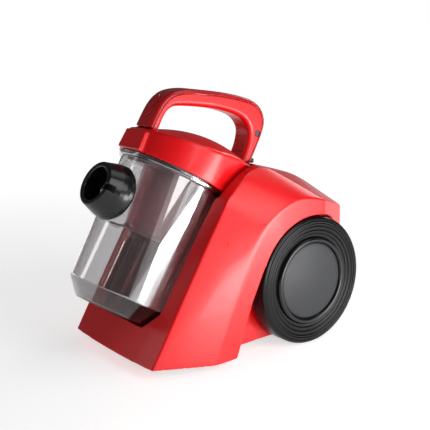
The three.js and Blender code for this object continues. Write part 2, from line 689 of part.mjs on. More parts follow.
const motorAt = (dy) => at(MOTOR.x, MOTOR.y + dy, MOTOR.z);
add('motor_housing', joined(
  pipe(MOTOR_HOUSING_R, MOTOR_HOUSING_R - 2.6, 92, motorAt(-4), Y),
  pipe(MOTOR_HOUSING_R - 1, 13, 2.6, motorAt(-4), Y),
), PALE);
add('motor_mount_front', pipe(MOTOR_HOUSING_R - 2.9, FAN_R + GAP, 8, motorAt(4), Y), RUBBER);
add('motor_mount_rear', pipe(MOTOR_HOUSING_R - 2.9, CAN_R + GAP, 7, motorAt(74), Y), RUBBER);
add('fan_cover', turned(
  [
    [13, 0], [FAN_R - 3, 0], [FAN_R, 3], [FAN_R, 24], [CAN_R - 4, 24], [CAN_R - 4, 22], [FAN_R - 2, 22],
    [FAN_R - 2, 4], [FAN_R - 4, 2], [13, 2], [13, 0],
  ],
  motorAt(0), Y,
), STEEL);
add('motor_can', turned(
  [
    [5, 24.4], [CAN_R, 24.4], [CAN_R, 82], [8, 82], [8, 80], [CAN_R - 2, 80], [CAN_R - 2, 26.4], [5, 26.4],
    [5, 24.4],
  ],
  motorAt(0), Y,
), STEEL);
add('motor_stator', pipe(CAN_R - 2.3, 19.5, 28, motorAt(40), Y, 40), COPPER);
add('motor_rotor', joined(
  rod(3.5, 76, motorAt(5), Y),
  rod(18.6, 30, motorAt(39), Y, 32),
  rod(FAN_R - 4, 2, motorAt(16), Y, 40),
  rod(9, 10, motorAt(8), Y, 20),
  ...Array.from({ length: 7 }, (_, i) => moved(
    block([7, MOTOR.y + 8, -1], [FAN_R - 5, MOTOR.y + 17, 1]),
    new THREE.Matrix4().makeTranslation(MOTOR.x, 0, MOTOR.z)
      .multiply(new THREE.Matrix4().makeRotationY((i * Math.PI * 2) / 7)),
  )),
), STEEL);

// ---- Exhaust ----

const grilleFront = GRILLE_Y + 3;
function exhaustGrille() {
  const [z0, z1] = GRILLE_Z;
  const w = GRILLE_HALF_WIDTH - GAP;
  const plate = block([-w, GRILLE_Y, z0 + GAP], [w, grilleFront, z1 - GAP]);
  const slots = [];
  for (let z = z0 + 7; z < z1 - 8; z += 7) {
    slots.push(block([-w + 6, 140, z], [-2, 170, z + 3]), block([2, 140, z], [w - 6, 170, z + 3]));
  }
  return cut(plate, ...slots);
}
add('exhaust_grille', exhaustGrille(), BLACK);

function pleatedFilter() {
  const [z0, z1] = GRILLE_Z;
  const low = z0 + 3;
  const high = z1 - 3;
  const front = [];
  const back = [];
  const folds = 14;
  for (let i = 0; i <= folds * 2; i++) {
    const z = low + ((high - low) * i) / (folds * 2);
    const y = GRILLE_Y - 4 - (i % 2) * 9;
    front.push([y + 1, z]);
    back.push([y - 1, z]);
  }
  const pleats = profileX([...front, ...back.reverse()], -40, 40);
  const frame = cut(
    block([-43, GRILLE_Y - 15, z0 + 1], [43, GRILLE_Y - 1, z1 - 1]),
    block([-40.5, 100, low + 0.2], [40.5, 200, high - 0.2]),
  );
  return joined(pleats, frame, block([-41, GRILLE_Y - 8, low - 1], [41, GRILLE_Y - 7, high + 1]));
}
add('exhaust_filter', pleatedFilter(), PALE);

// ---- Cord reel ----

add('reel_drum', turned(
  [
    [6 + GAP, 0], [REEL_R, 0], [REEL_R, 2], [22, 2], [22, REEL_WIDTH - 2], [REEL_R, REEL_WIDTH - 2],
    [REEL_R, REEL_WIDTH], [6 + GAP, REEL_WIDTH], [6 + GAP, 0],
  ],
  REEL, X,
), PALE);
add('reel_post', joined(
  rod(6, REEL_WIDTH + 3, at(REEL.x - 1, REEL.y, REEL.z), X, 24),
  rod(30, 2, at(REEL.x + REEL_WIDTH + GAP + 0.6, REEL.y, REEL.z), X, 32),
), GREY);
add('reel_spring_case', turned(
  [[0, -4.6], [20, -4.6], [20, -1.4], [0, -1.4]], REEL, X, 32,
), STEEL);

// ---- Controls ----

const buttonFace = 163.5;
const controls = [['power', -1, 12], ['rewind', 1, 14.9]];
for (const [name, side, stem] of controls) {
  const x = side * BUTTON_X;
  add(`${name}_button`, joined(
    rod(BUTTON_R, 7, at(x, buttonFace - 9, BUTTON_Z), Y, 32),
    rod(3, stem, at(x, buttonFace - 8 - stem, BUTTON_Z), Y, 16),
  ), side < 0 ? BLACK : GREY);
  add(`${name}_spring`, spring(5, 0.6, 7, 3, at(x, buttonFace - 18.5, BUTTON_Z), Y), STEEL);
}

function controlBracket() {
  const shelf = block([-62, 125, 121], [62, buttonFace - 19, 124]);
  const wall = block([-62, buttonFace - 21, 121], [62, buttonFace - 19, 147]);
  const guides = mirrored.map((side) =>
    rod(3 + GAP, 20, at(side * BUTTON_X, buttonFace - 30, BUTTON_Z), Y, 16));
  const brakeSlot = block([BUTTON_X - 5, 110, 110], [BUTTON_X + 5, 139, 130]);
  const ears = [-7.5, 5.5].map((dx) =>
    block([BUTTON_X + dx, 124, 122], [BUTTON_X + dx + 2, 136, 134]));
  const pin = rod(2 + GAP, 40, at(BUTTON_X - 20, 130, 129), X, 12);
  const cordWay = rod(8, 60, at(0, 120, BUTTON_Z), Y);
  return cut(joined(shelf, wall, ...ears), ...guides, brakeSlot, pin, cordWay);
}
add('control_bracket', controlBracket(), GREY);

add('power_switch', joined(
  block([-BUTTON_X - 8, 121, 124.4], [-BUTTON_X + 8, 139, 145]),
  block([-BUTTON_X - 2.5, 138, BUTTON_Z - 2.5], [-BUTTON_X + 2.5, 141, BUTTON_Z + 2.5]),
), BLACK);

add('brake_lever', cut(hull([
  [BUTTON_X - 4, 137, 140], [BUTTON_X + 4, 137, 140], [BUTTON_X - 4, 140, 138],
  [BUTTON_X + 4, 140, 138], [BUTTON_X - 4, 126, 125], [BUTTON_X + 4, 126, 125],
  [BUTTON_X - 4, 134, 125], [BUTTON_X + 4, 134, 125], [BUTTON_X - 4, 124, 113],
  [BUTTON_X + 4, 124, 113], [BUTTON_X - 4, 129, 112], [BUTTON_X + 4, 129, 112],
]), rod(2 + GAP, 40, at(BUTTON_X - 20, 130, 129), X, 12)), BLACK);
add('brake_pin', rod(2, 17, at(BUTTON_X - 8.5, 130, 129), X, 12), STEEL);

add('cord_outlet', turned(
  [[5, 0], [8.6, 0], [8.6, 9], [11, 9.4], [11, 11], [9, 12], [5, 12], [5, 0]],
  at(0, 156.8, BUTTON_Z), Y, 24,
), BLACK);

// ---- Centre the machine on the origin ----

const bounds = new THREE.Box3().setFromObject(machine);
machine.children.forEach((mesh) => mesh.geometry.translate(0, -(bounds.min.y + bounds.max.y) / 2, 0));

export default machine;
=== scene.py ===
"""Compact bagless cyclone vacuum cleaner: its looks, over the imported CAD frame.

Shapes are worked out in millimetres in the machine's own axes and written out in metres.
Freeform plastic parts are distance functions, turned into meshes by surface nets.
Round parts are turned profiles.
"""

import json
import math

import bmesh
import bpy
import numpy as np
from mathutils import Matrix, Vector

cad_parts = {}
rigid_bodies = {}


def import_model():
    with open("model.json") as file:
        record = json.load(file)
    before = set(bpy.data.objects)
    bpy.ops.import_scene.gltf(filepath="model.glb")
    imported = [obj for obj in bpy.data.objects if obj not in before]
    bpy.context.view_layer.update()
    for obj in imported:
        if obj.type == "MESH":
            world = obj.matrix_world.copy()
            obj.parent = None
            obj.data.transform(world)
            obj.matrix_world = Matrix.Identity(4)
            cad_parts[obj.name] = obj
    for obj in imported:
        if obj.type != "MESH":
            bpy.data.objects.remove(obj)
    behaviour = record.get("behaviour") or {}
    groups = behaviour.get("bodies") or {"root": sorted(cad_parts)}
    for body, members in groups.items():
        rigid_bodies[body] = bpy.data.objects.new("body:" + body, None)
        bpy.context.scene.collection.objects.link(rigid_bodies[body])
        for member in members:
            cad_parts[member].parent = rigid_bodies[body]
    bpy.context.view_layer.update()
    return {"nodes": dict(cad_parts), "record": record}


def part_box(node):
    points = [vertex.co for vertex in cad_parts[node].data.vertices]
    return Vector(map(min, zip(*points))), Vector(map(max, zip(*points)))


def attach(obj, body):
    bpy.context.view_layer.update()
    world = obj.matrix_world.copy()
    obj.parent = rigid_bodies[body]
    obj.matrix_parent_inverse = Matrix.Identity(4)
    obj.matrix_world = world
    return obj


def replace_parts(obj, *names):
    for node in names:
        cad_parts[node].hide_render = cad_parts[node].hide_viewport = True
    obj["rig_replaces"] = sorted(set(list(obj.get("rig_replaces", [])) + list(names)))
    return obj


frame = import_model()

MM = 0.001

# ---- Places taken from the frame ----


def centre(node):
    """Middle of a node's box at rest, in millimetres."""
    low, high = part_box(node)
    return [(low[i] + high[i]) / 2 / MM for i in range(3)]


def extent(node):
    """Size of a node's box at rest, in millimetres."""
    low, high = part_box(node)
    return [(high[i] - low[i]) / MM for i in range(3)]


WHEEL_CENTRE = centre("wheel_tyre_left")
WHEEL_R = extent("wheel_tyre_left")[2] / 2
WHEEL_Y = 85.0  # the wheel's place in the machine's own axes
SHIFT_Y = WHEEL_CENTRE[1] - WHEEL_Y

WALL = 3.0
GAP = 0.3

# Lines of the outer body: [y, z] at a fixed half width, and [x, y, z] for the shoulder
FACE_X, FLARE_X, RIDGE_X, REAR_X = 80.0, 99.0, 30.0, 70.0
FACE_BOW = 4.2
FACE_EDGE = [[-125.3, 12], [-108.8, 39.9], [-64.9, 116.5], [-38.6, 159.6], [-25.3, 180.4]]
SHOULDER = [[76, -11.2, 192.2], [72, 5.8, 203.7], [68, 20, 208.4], [66, 31, 209.2], [66, 42, 207.6]]
FLARE_EDGE = [[-57, 7], [-35.4, 56.3], [-11, 116.4], [-1, 135], [11.1, 150.6], [26, 162.5]]
FLARE_FOOT = [[100.9, 120], [-25, 7.5]]
HAUNCH_EDGE = [[42.6, 170.7], [61.9, 175.6], [82, 173.8], [100.9, 168.6]]
TOP_RIDGE = [[40, 205.5], [67, 200], [90, 195.3], [108, 190.3], [122, 184.3], [138, 175], [152, 163.5]]
REAR_EDGE = [[156, 150.8], [157, 127], [149, 14]]
REAR_MIDDLE = [[165, 149], [166, 127], [157, 14]]
RIDGE_CROWN = 1.2
FLOOR_Z = 13.0
SKIRT_Z = 26.0  # below this height the inside of the shell runs straight down

# Wheel wells
WELL_X = 72.0
WELL_R = WHEEL_R + 2.5
WELL_ROOF = 128
WELL_LINE = [
    [-27, -20], [-27, 7], [-6, 66], [12, 104], [85, 104], [85, WELL_ROOF], [157, WELL_ROOF],
    [260, WELL_ROOF], [260, -20],
]
AXLE_HOLE_R = 5.3

# Dust cup, in its own axes: e runs back across it and s up its axis
TILT = math.radians(30.74)
CUP_BASE = np.array([0.0, -115.7, 74.4])
CUP_R, CUP_TOP_R, CUP_HEIGHT = 57.4, 60.2, 140.0
CUP_FOOT_R, CUP_FOOT_DROP, CUP_WALL = 41.0, 20.0, 2.4
RIM_R, RIM_BOTTOM, RIM_TOP = 63.6, 141.0, 145.6
RECESS_GAP, RECESS_OPEN_S = 2.4, 300.0
RECESS_STEP_S, RECESS_LEDGE_S = RIM_BOTTOM - 8, RIM_BOTTOM - 3
CORNER_SHARE = 0.6  # of a gap, where the wall meets the foot's chamfer
DUCT_S, DUCT_R, DUCT_START = 168.0, 15.0, 40.0

# Hose port, along -e
PORT_S, PORT_MOUTH, PORT_R, PORT_BORE_R, PORT_ROOT_R = 96.0, 86.0, 24.5, 18.7, 31.0

# Lid and handle
LID_R, LID_TAIL_LOW, LID_TAIL, LID_TAIL_R = 65.0, 8.0, 22.0, 61.0
LID_BOTTOM = RIM_TOP + GAP
LID_LEAN_HEIGHT = 44.0
LID_FRONT_TOP, LID_SLOPE, LID_DOME = 172.0, 0.155, 15.0
PLATE_TOP, PLATE_HALF_WIDTH, PLATE_TAPER = 168.0, 21.0, 2.5 / 30
PLATE_PROUD, PLATE_DEPTH = 2.4, 14.0
HANDLE_OUTER = [
    [-90, 239], [-84, 250], [-75.5, 265], [-66, 279], [-56, 288], [-45, 292.6], [-28, 294], [-8, 292],
    [23, 287.5], [50, 281.5], [68, 275], [79, 264.5], [83.5, 251], [79.5, 236], [72, 221], [62, 203],
]
HANDLE_INNER = [
    [-80, 233], [-66.5, 254], [-59, 267], [-51, 274.2], [-40, 276], [-10, 273], [14, 269], [38, 262],
    [51, 254.5], [58.5, 243], [57.5, 230], [52, 216], [44, 202],
]
HANDLE_HALF_WIDTH = 15.0
HANDLE_CAP, HALF_SEAM = 5.0, 0.15
GRIP_PANEL_DEPTH, GRIP_PANEL_HALF_WIDTH = 1.3, 8.5
GRIP_PANEL_Z, GRIP_PANEL_HALF_HEIGHT, GRIP_PANEL_Y = 232.0, 15.0, 40.0

# ---- Distance functions: each takes an (n, 3) array of millimetres ----


def meet(a, b, radius):
    """Where a and b overlap, with the outer edge between them rounded."""
    u, v = np.maximum(radius + a, 0), np.maximum(radius + b, 0)
    return np.minimum(-radius, np.maximum(a, b)) + np.hypot(u, v)


def join(a, b, radius):
    """a and b together, with the inner corner between them filled."""
    u, v = np.maximum(radius - a, 0), np.maximum(radius - b, 0)
    return np.maximum(radius, np.minimum(a, b)) - np.hypot(u, v)


def polygon_distance(line, u, v):
    """Signed distance from points (u, v) to a closed outline."""
    pts = np.asarray(line, float)
    best = np.full(u.shape, np.inf)
    inside = np.zeros(u.shape, bool)
    for (x0, y0), (x1, y1) in zip(pts, np.roll(pts, -1, 0)):
        ex, ey = x1 - x0, y1 - y0
        wx, wy = u - x0, v - y0
        t = np.clip((wx * ex + wy * ey) / (ex * ex + ey * ey), 0, 1)
        best = np.minimum(best, (wx - t * ex) ** 2 + (wy - t * ey) ** 2)
        crosses = (y0 <= v) != (y1 <= v)
        if ey:
            inside ^= crosses & (u < x0 + (v - y0) * ex / ey)
    distance = np.sqrt(best)
    return np.where(inside, -distance, distance)


def box_distance(p, low, high):
    """Signed distance to a box between two corners."""
    low, high = np.asarray(low, float), np.asarray(high, float)
    q = np.abs(p - (low + high) / 2) - (high - low) / 2
    return np.linalg.norm(np.maximum(q, 0), axis=1) + np.minimum(q.max(1), 0)


def capped(radial, along, low, high, radius=0.8):
    """A round or flat section between two ends, its edges rounded."""
    ends = np.abs(along - (low + high) / 2) - (high - low) / 2
    return meet(radial, ends, radius)


def spline(line, steps=5):
    """A smooth line through points, denser than they are."""
    pts = np.asarray(line, float)
    ends = np.vstack([2 * pts[0] - pts[1], pts, 2 * pts[-1] - pts[-2]])
    out = []
    for i in range(1, len(ends) - 2):
        p0, p1, p2, p3 = ends[i - 1:i + 3]
        for k in range(steps):
            t = k / steps
            out.append(0.5 * (2 * p1 + (p2 - p0) * t + (2 * p0 - 5 * p1 + 4 * p2 - p3) * t * t
                              + (3 * p1 - p0 - 3 * p2 + p3) * t ** 3))
    out.append(ends[-2])
    return np.array(out)


# Melting the facets together draws the surface in, and the ease moves it back out
HULL_SOFTNESS, HULL_EASE = 0.45, 0.25
SMALLEST_FACET = 0.05
SAMPLES_AT_ONCE = 60000


def soft_hull(points, softness):
    """Distance to the convex body round the points, its small facets melted together."""
    bm = bmesh.new()
    for p in points:
        bm.verts.new(p)
    bmesh.ops.convex_hull(bm, input=bm.verts)
    planes = {}
    for face in bm.faces:
        if face.calc_area() < SMALLEST_FACET:
            continue
        n = face.normal
        d = n.dot(face.verts[0].co)
        planes[tuple(round(c, 2) for c in n) + (round(d),)] = (*n, d)
    bm.free()
    table = np.array(list(planes.values()), np.float32)
    normals, offsets = table[:, :3].T, table[:, 3]

    def distance(p):
        out = np.empty(len(p))
        for start in range(0, len(p), SAMPLES_AT_ONCE):
            batch = slice(start, start + SAMPLES_AT_ONCE)
            s = p[batch].astype(np.float32) @ normals - offsets
            top = s.max(1)
            melted = softness * np.log(np.exp((s - top[:, None]) / softness).sum(1))
            out[batch] = top + melted - HULL_EASE
        return out

    return distance


def cup_axes(p):
    """x, e and s of points given in the machine's axes."""
    q = p - CUP_BASE
    c, s = math.cos(TILT), math.sin(TILT)
    return q[:, 0], q[:, 1] * c - q[:, 2] * s, q[:, 1] * s + q[:, 2] * c


CUP_MATRIX = (Matrix.Translation(Vector((0, CUP_BASE[1] + SHIFT_Y, CUP_BASE[2])) * MM)
              @ Matrix.Rotation(-TILT, 4, "X"))


# ---- Surface nets ----

BLOCK = 8  # cells along the side of a block that is sampled, or passed over, as one
BLOCKS_AT_ONCE = 64
FAR_OFF = 1e3
REACH_SLACK = 1.25  # for distance functions that overstate how far off the surface is


def net(distance, low, high, step):
    """Vertices and quads of the zero surface of a distance function."""
    low = np.asarray(low, float) - 2 * step
    shape = np.ceil((np.asarray(high, float) - low) / step).astype(int) + 3
    blocks = -(-shape // BLOCK)
    shape = blocks * BLOCK + 1
    grid = np.full(shape, FAR_OFF, np.float32)

    def fill(corner, value):
        grid[tuple(slice(c, c + BLOCK + 1) for c in corner)] = value

    middles = (np.indices(blocks).reshape(3, -1).T + 0.5) * BLOCK * step + low
    rough = distance(middles)
    reach = 0.5 * BLOCK * step * math.sqrt(3) * REACH_SLACK + step
    local = np.indices((BLOCK + 1,) * 3).reshape(3, -1).T
    corners = np.indices(blocks).reshape(3, -1).T * BLOCK
    far = np.abs(rough) >= reach
    for corner, value in zip(corners[far], rough[far]):
        fill(corner, value)
    near = corners[~far]
    for start in range(0, len(near), BLOCKS_AT_ONCE):
        batch = near[start:start + BLOCKS_AT_ONCE]
        points = (batch[:, None, :] + local[None]).reshape(-1, 3) * step + low
        values = distance(points).reshape(len(batch), *(BLOCK + 1,) * 3)
        for corner, cube in zip(batch, values):
            fill(corner, cube)
    return polygonise(grid, low, step)


def polygonise(grid, low, step):
    """A vertex in each cell that the surface crosses, and a quad round each crossed edge."""
    inside = grid < 0
    cells = [s - 1 for s in grid.shape]

    def view(array, o):
        return array[tuple(slice(start, start + size) for start, size in zip(o, cells))]

    total = np.zeros(cells, np.int8)
    offsets = [(a, b, c) for a in (0, 1) for b in (0, 1) for c in (0, 1)]
    for o in offsets:
        total += view(inside, o)
    active = (total > 0) & (total < 8)
    index = np.full(cells, -1, np.int64)
    index[active] = np.arange(active.sum())
    where = np.argwhere(active)
    sums, counts = np.zeros((len(where), 3)), np.zeros(len(where))
    for a in offsets:
        for axis in range(3):
            if a[axis]:
                continue
            b = tuple(1 if i == axis else a[i] for i in range(3))
            va, vb = view(grid, a)[active], view(grid, b)[active]
            crossing = (va < 0) != (vb < 0)
            t = np.zeros(len(where))
            t[crossing] = va[crossing] / (va[crossing] - vb[crossing])
            point = np.tile(np.array(a, float), (len(where), 1))
            point[:, axis] += t
            sums[crossing] += point[crossing]
            counts[crossing] += 1
    verts = (where + sums / counts[:, None]) * step + low
    quads = []
    for axis in range(3):
        u, v = [i for i in range(3) if i != axis]
        head = [slice(None)] * 3
        tail = [slice(None)] * 3
        head[axis], tail[axis] = slice(0, -1), slice(1, None)
        change = inside[tuple(head)] != inside[tuple(tail)]
        at = np.argwhere(change)
        at = at[(at[:, u] > 0) & (at[:, v] > 0)]
        at = at[(at[:, u] < cells[u]) & (at[:, v] < cells[v])]
        ring = []
        for du, dv in ((1, 1), (0, 1), (0, 0), (1, 0)):
            cell = at.copy()
            cell[:, u] -= du
            cell[:, v] -= dv
            ring.append(index[tuple(cell.T)])
        quad = np.stack(ring, 1)
        out = inside[tuple(at.T)]
        forward = out if axis != 1 else ~out
        quad[~forward] = quad[~forward][:, ::-1]
        quads.append(quad)
    quads = np.vstack(quads)
    return verts, quads[(quads >= 0).all(1)]


def gradient(distance, verts, middle, h=0.05):
    """Slope of a distance function at points whose own distances are known."""
    out = np.zeros_like(verts)
    for axis in range(3):
        shift = np.zeros(3)
        shift[axis] = h
        out[:, axis] = distance(verts + shift) - middle
    return out / h


LEAST_STEEPNESS, LONGEST_MOVE = 0.2, 0.6  # hold a vertex back where the slope is unsure
TINY = 1e-9


def sculpt(name, distance, low, high, step, rounds=2):
    """A mesh object of a distance function, its vertices drawn onto the true surface."""
    verts, quads = net(distance, low, high, step)
    for _ in range(rounds):
        here = distance(verts)
        slope = gradient(distance, verts, here)
        steepness = np.maximum((slope ** 2).sum(1), LEAST_STEEPNESS)
        move = slope * (here / steepness)[:, None]
        length = np.linalg.norm(move, axis=1)
        share = np.minimum(1, LONGEST_MOVE * step / np.maximum(length, TINY))
        verts = verts - move * share[:, None]
    slope = gradient(distance, verts, distance(verts))
    normals = slope / np.maximum(np.linalg.norm(slope, axis=1), TINY)[:, None]
    verts[:, 1] += SHIFT_Y
    return mesh_object(name, verts * MM, quads, normals)


def mesh_object(name, verts, faces, normals):
    """A smooth mesh object of quads, with the normals that its vertices are given."""
    mesh = bpy.data.meshes.new(name)
    mesh.vertices.add(len(verts))
    mesh.vertices.foreach_set("co", np.asarray(verts, np.float32).ravel())
    faces = np.asarray(faces, np.int32)
    mesh.loops.add(faces.size)
    mesh.loops.foreach_set("vertex_index", faces.ravel())
    mesh.polygons.add(len(faces))
    mesh.polygons.foreach_set("loop_start", np.arange(0, faces.size, faces.shape[1], dtype=np.int32))
    mesh.update(calc_edges=True)
    mesh.validate()
    mesh.polygons.foreach_set("use_smooth", np.ones(len(mesh.polygons), bool))
    mesh.normals_split_custom_set_from_vertices([tuple(n) for n in normals])
    obj = bpy.data.objects.new(name, mesh)
    bpy.context.scene.collection.objects.link(obj)
    return obj


# ---- The outer shell ----


def both(line, x):
    """The points [y, z] of a line, at the same distance to each side."""
    return [[side * x, y, z] for y, z in line for side in (1, -1)]


def outer_points():
    """Points whose convex hull is the outside of the body."""
    face = spline(FACE_EDGE, 3)
    edge = np.vstack([np.column_stack([np.full(len(face), FACE_X), face]), spline(SHOULDER, 5)])
    points = [[side * x, y, z] for x, y, z in edge for side in (1, -1)]
    for y, z in face:
        for x in np.linspace(-FACE_X, FACE_X, 9)[1:-1]:
            points.append([x, y - FACE_BOW * (1 - (x / FACE_X) ** 2), z])
    points += both(spline(FLARE_EDGE + HAUNCH_EDGE, 5), FLARE_X)
    points += both(FLARE_FOOT, FLARE_X)
    for y, z in spline(TOP_RIDGE, 3):
        for x in np.linspace(-RIDGE_X, RIDGE_X, 7):
            points.append([x, y, z + RIDGE_CROWN * (1 - (x / RIDGE_X) ** 2)])
    points += both(REAR_EDGE, REAR_X)
    for (y0, z0), (y1, z1) in zip(REAR_MIDDLE, REAR_EDGE):
        for x in np.linspace(0, REAR_X, 6)[:-1]:
            k = (x / REAR_X) ** 2
            points += [[side * x, y0 + (y1 - y0) * k, z0 + (z1 - z0) * k] for side in (1, -1)]
    return points


outer = soft_hull(outer_points(), HULL_SOFTNESS)


def well(p, margin):
    """Both wheel wells, grown by a margin."""
    y, z = p[:, 1], p[:, 2]
    line = [[a - margin if a < WHEEL_Y else a, b + margin if b == WELL_ROOF else b]
            for a, b in WELL_LINE]
    side = np.minimum(
        polygon_distance(line, y, z), np.hypot(y - WHEEL_Y, z - WHEEL_R) - WELL_R - margin)
    return np.maximum(side, WELL_X - margin - np.abs(p[:, 0]))


def capsule(x, e, tail, r0, r1):
    """Distance to the outline round two circles, the second set back by tail."""
    slope = (r0 - r1) / np.maximum(tail, 1e-6)
    rise = np.sqrt(1 - slope ** 2)
    ax = np.abs(x)
    k = -ax * slope + e * rise
    straight = ax * rise + e * slope - r0
    first = np.hypot(ax, e) - r0
    second = np.hypot(ax, e - tail) - r1
    return np.where(k < 0, first, np.where(k > tail * rise, second, straight))


def lid_side(x, e, s):
    """Distance to the lid's wall, which reaches further back towards its top."""
    lean = np.clip((s - LID_BOTTOM) / LID_LEAN_HEIGHT, 0, 1)
    tail = LID_TAIL_LOW + (LID_TAIL - LID_TAIL_LOW) * lean
    return capsule(x, e, tail, LID_R, LID_TAIL_R)


def turned_distance(profile, r, h):
    """Distance to a turned solid whose half outline starts and ends on the axis."""
    mirrored = [(-a, b) for a, b in reversed(profile) if a]
    return polygon_distance(list(profile) + mirrored, r, h)


def recess(p, margin):
    """The space that takes the cup and the lid."""
    x, e, s = cup_axes(p)
    g = RECESS_GAP + margin
    corner, ledge = g * CORNER_SHARE, RECESS_LEDGE_S - margin
    profile = [
        (0, -CUP_FOOT_DROP - g), (CUP_FOOT_R + corner, -CUP_FOOT_DROP - g), (CUP_R + g, -corner),
        (CUP_TOP_R + g, RECESS_STEP_S - margin), (RIM_R + g, ledge), (RIM_R + g, RECESS_OPEN_S),
        (0, RECESS_OPEN_S),
    ]
    foot = turned_distance(profile, np.hypot(x, e), s)
    lid = np.maximum(lid_side(x, e, s) - g, ledge - s)
    return np.minimum(foot, lid)


def duct_hole(x, e, s):
    """The round hole for the air, through the back of the lid and the wall of the recess."""
    return np.maximum(np.hypot(x, s - DUCT_S) - DUCT_R, DUCT_START - e)


REAR_CUT_START, REAR_CUT_END = 138.0, 220.0
BUTTON_R, CORD_HOLE_R = 11.0, 9.0


def rear_openings(p):
    """The openings in the rear panel: the grille, both buttons and the cord outlet."""
    low, high = [np.array(corner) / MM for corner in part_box("exhaust_grille")]
    out = box_distance(p, [low[0] - GAP, REAR_CUT_START, low[2] - GAP],
                       [high[0] + GAP, REAR_CUT_END, high[2] + GAP])
    for node in ("power_button", "rewind_button", "cord_outlet"):
        cx, _, cz = centre(node)
        radius = CORD_HOLE_R if node == "cord_outlet" else BUTTON_R + GAP
        hole = np.hypot(p[:, 0] - cx, p[:, 2] - cz) - radius
        out = np.minimum(out, np.maximum(hole, REAR_CUT_START - p[:, 1]))
    return out


BOTTOM_OPENING = ([-68, -112, -30], [68, 150, FLOOR_Z + 5])
BOSS_R, BOSS_X, BOSS_HALF = 11.0, 75.5, 4.5
RECESS_ROUND, WELL_ROUND, OPENING_ROUND = 1.2, 0.9, 0.8
TUCK = 0.02  # keeps the inner walls just under the skin


def body_shell(p):
    """The hollow body: its skin, the walls of the recess and wells, and every opening."""
    skin = outer(p)
    lifted = p.copy()
    lifted[:, 2] = np.maximum(lifted[:, 2], SKIRT_Z)
    inner = np.where(p[:, 2] < SKIRT_Z, outer(lifted), skin) + WALL
    shell = np.maximum(skin, -inner)
    walls = np.minimum(recess(p, WALL), well(p, WALL))
    shell = np.minimum(shell, np.maximum(walls, skin + TUCK))
    shell = meet(shell, -recess(p, 0), RECESS_ROUND)
    shell = meet(shell, -well(p, 0), WELL_ROUND)
    shell = np.maximum(shell, -duct_hole(*cup_axes(p)))
    shell = np.maximum(shell, -box_distance(p, *BOTTOM_OPENING))
    off_axle = np.hypot(p[:, 1] - WHEEL_Y, p[:, 2] - WHEEL_R)
    boss = np.maximum(off_axle - BOSS_R, np.abs(np.abs(p[:, 0]) - BOSS_X) - BOSS_HALF)
    shell = np.maximum(np.minimum(shell, boss), AXLE_HOLE_R - off_axle)
    return meet(shell, -rear_openings(p), OPENING_ROUND)


# ---- Lid and handle ----

LID_ROUND, LID_FOOT_ROUND, HANDLE_ROUND, SEAM_ROUND, CUT_ROUND = 3.5, 0.7, 5.5, 0.5, 0.6
PLATE_FILLET, GRIP_FILLET = 3.0, 3.5
COVER_OFF_LID, COVER_OFF_PLATE = 2.2, 1.6
TOP_SLOPE_SHARE = 0.92  # turns height over the sloping top into distance from it


def lid_outside(x, e, s, inset):
    """The round wall and the low dome of the lid."""
    k2 = (x ** 2 + (e - LID_TAIL / 2) ** 2) / (LID_R - 2) ** 2
    dome = LID_DOME * (1 - np.minimum(k2, 1))
    top = LID_FRONT_TOP + LID_SLOPE * (LID_R + e) + dome - inset
    return meet(lid_side(x, e, s) + inset, (s - top) * TOP_SLOPE_SHARE, LID_ROUND)


def line_distance(line, u, v):
    """Distance from points (u, v) to an open line."""
    best = np.full(u.shape, np.inf)
    for (x0, y0), (x1, y1) in zip(line[:-1], line[1:]):
        ex, ey = x1 - x0, y1 - y0
        t = np.clip(((u - x0) * ex + (v - y0) * ey) / (ex * ex + ey * ey), 0, 1)
        best = np.minimum(best, (u - x0 - t * ex) ** 2 + (v - y0 - t * ey) ** 2)
    return np.sqrt(best)


OUTER_LINE = spline(HANDLE_OUTER, 4)
INNER_LINE = spline(HANDLE_INNER, 4)
HANDLE_OUTLINE = np.vstack([OUTER_LINE, INNER_LINE[::-1]])
BUTTON_PLACE = np.array([0.0, -61.5, 274.0])
BUTTON_OUT = np.array([0.0, -0.77, 0.64]) / math.hypot(0.77, 0.64)
BUTTON_UP = np.array([0.0, -BUTTON_OUT[2], BUTTON_OUT[1]])
LEAF_HALF_WIDTH, LEAF_HALF_LENGTH = 6.3, 14.4
BUTTON_TOP, BUTTON_UNDER, BUTTON_CROWN = 7.2, 3.0, 0.03
POCKET_MARGIN, POCKET_DEPTH = 0.5, 6.2
STUB_R, STUB_HALF_WALL, STUB_MIDDLE, STUB_HALF_HEIGHT = 3.9, 0.45, 1.2, 2.2
SCREW_Y, SCREW_Z, SCREW_R, SCREW_DEPTH = 70.5, 238.0, 3.6, 4.8
LATCH_LOW, LATCH_HIGH = [-8.3, 40, 204.1], [8.3, 71, 207.7]


def button_axes(p):
    """Points in the release button's own axes: across it, up it and out of it."""
    q = p - BUTTON_PLACE
    return q[:, 0], q @ BUTTON_UP, q @ BUTTON_OUT


def leaf(u, v, grow):
    """Distance to a leaf outline of two arcs."""
    a, b = LEAF_HALF_LENGTH + grow, LEAF_HALF_WIDTH + grow
    radius = (a * a + b * b) / (2 * b)
    return np.hypot(np.abs(u) + radius - b, v) - radius


def handle_bar(p):
    """The whole handle, before its cover is split off."""
    section = polygon_distance(HANDLE_OUTLINE, p[:, 1], p[:, 2])
    return meet(section, np.abs(p[:, 0]) - HANDLE_HALF_WIDTH, HANDLE_ROUND)


def handle_cuts(p):
    """The release button's pocket, the screw hole and the latch slot."""
    u, v, w = button_axes(p)
    pocket = np.maximum(leaf(u, v, POCKET_MARGIN), -POCKET_DEPTH - w)
    screw = np.maximum(np.hypot(p[:, 1] - SCREW_Y, p[:, 2] - SCREW_Z) - SCREW_R,
                       HANDLE_HALF_WIDTH - SCREW_DEPTH - p[:, 0])
    return np.minimum(np.minimum(pocket, screw), box_distance(p, LATCH_LOW, LATCH_HIGH))


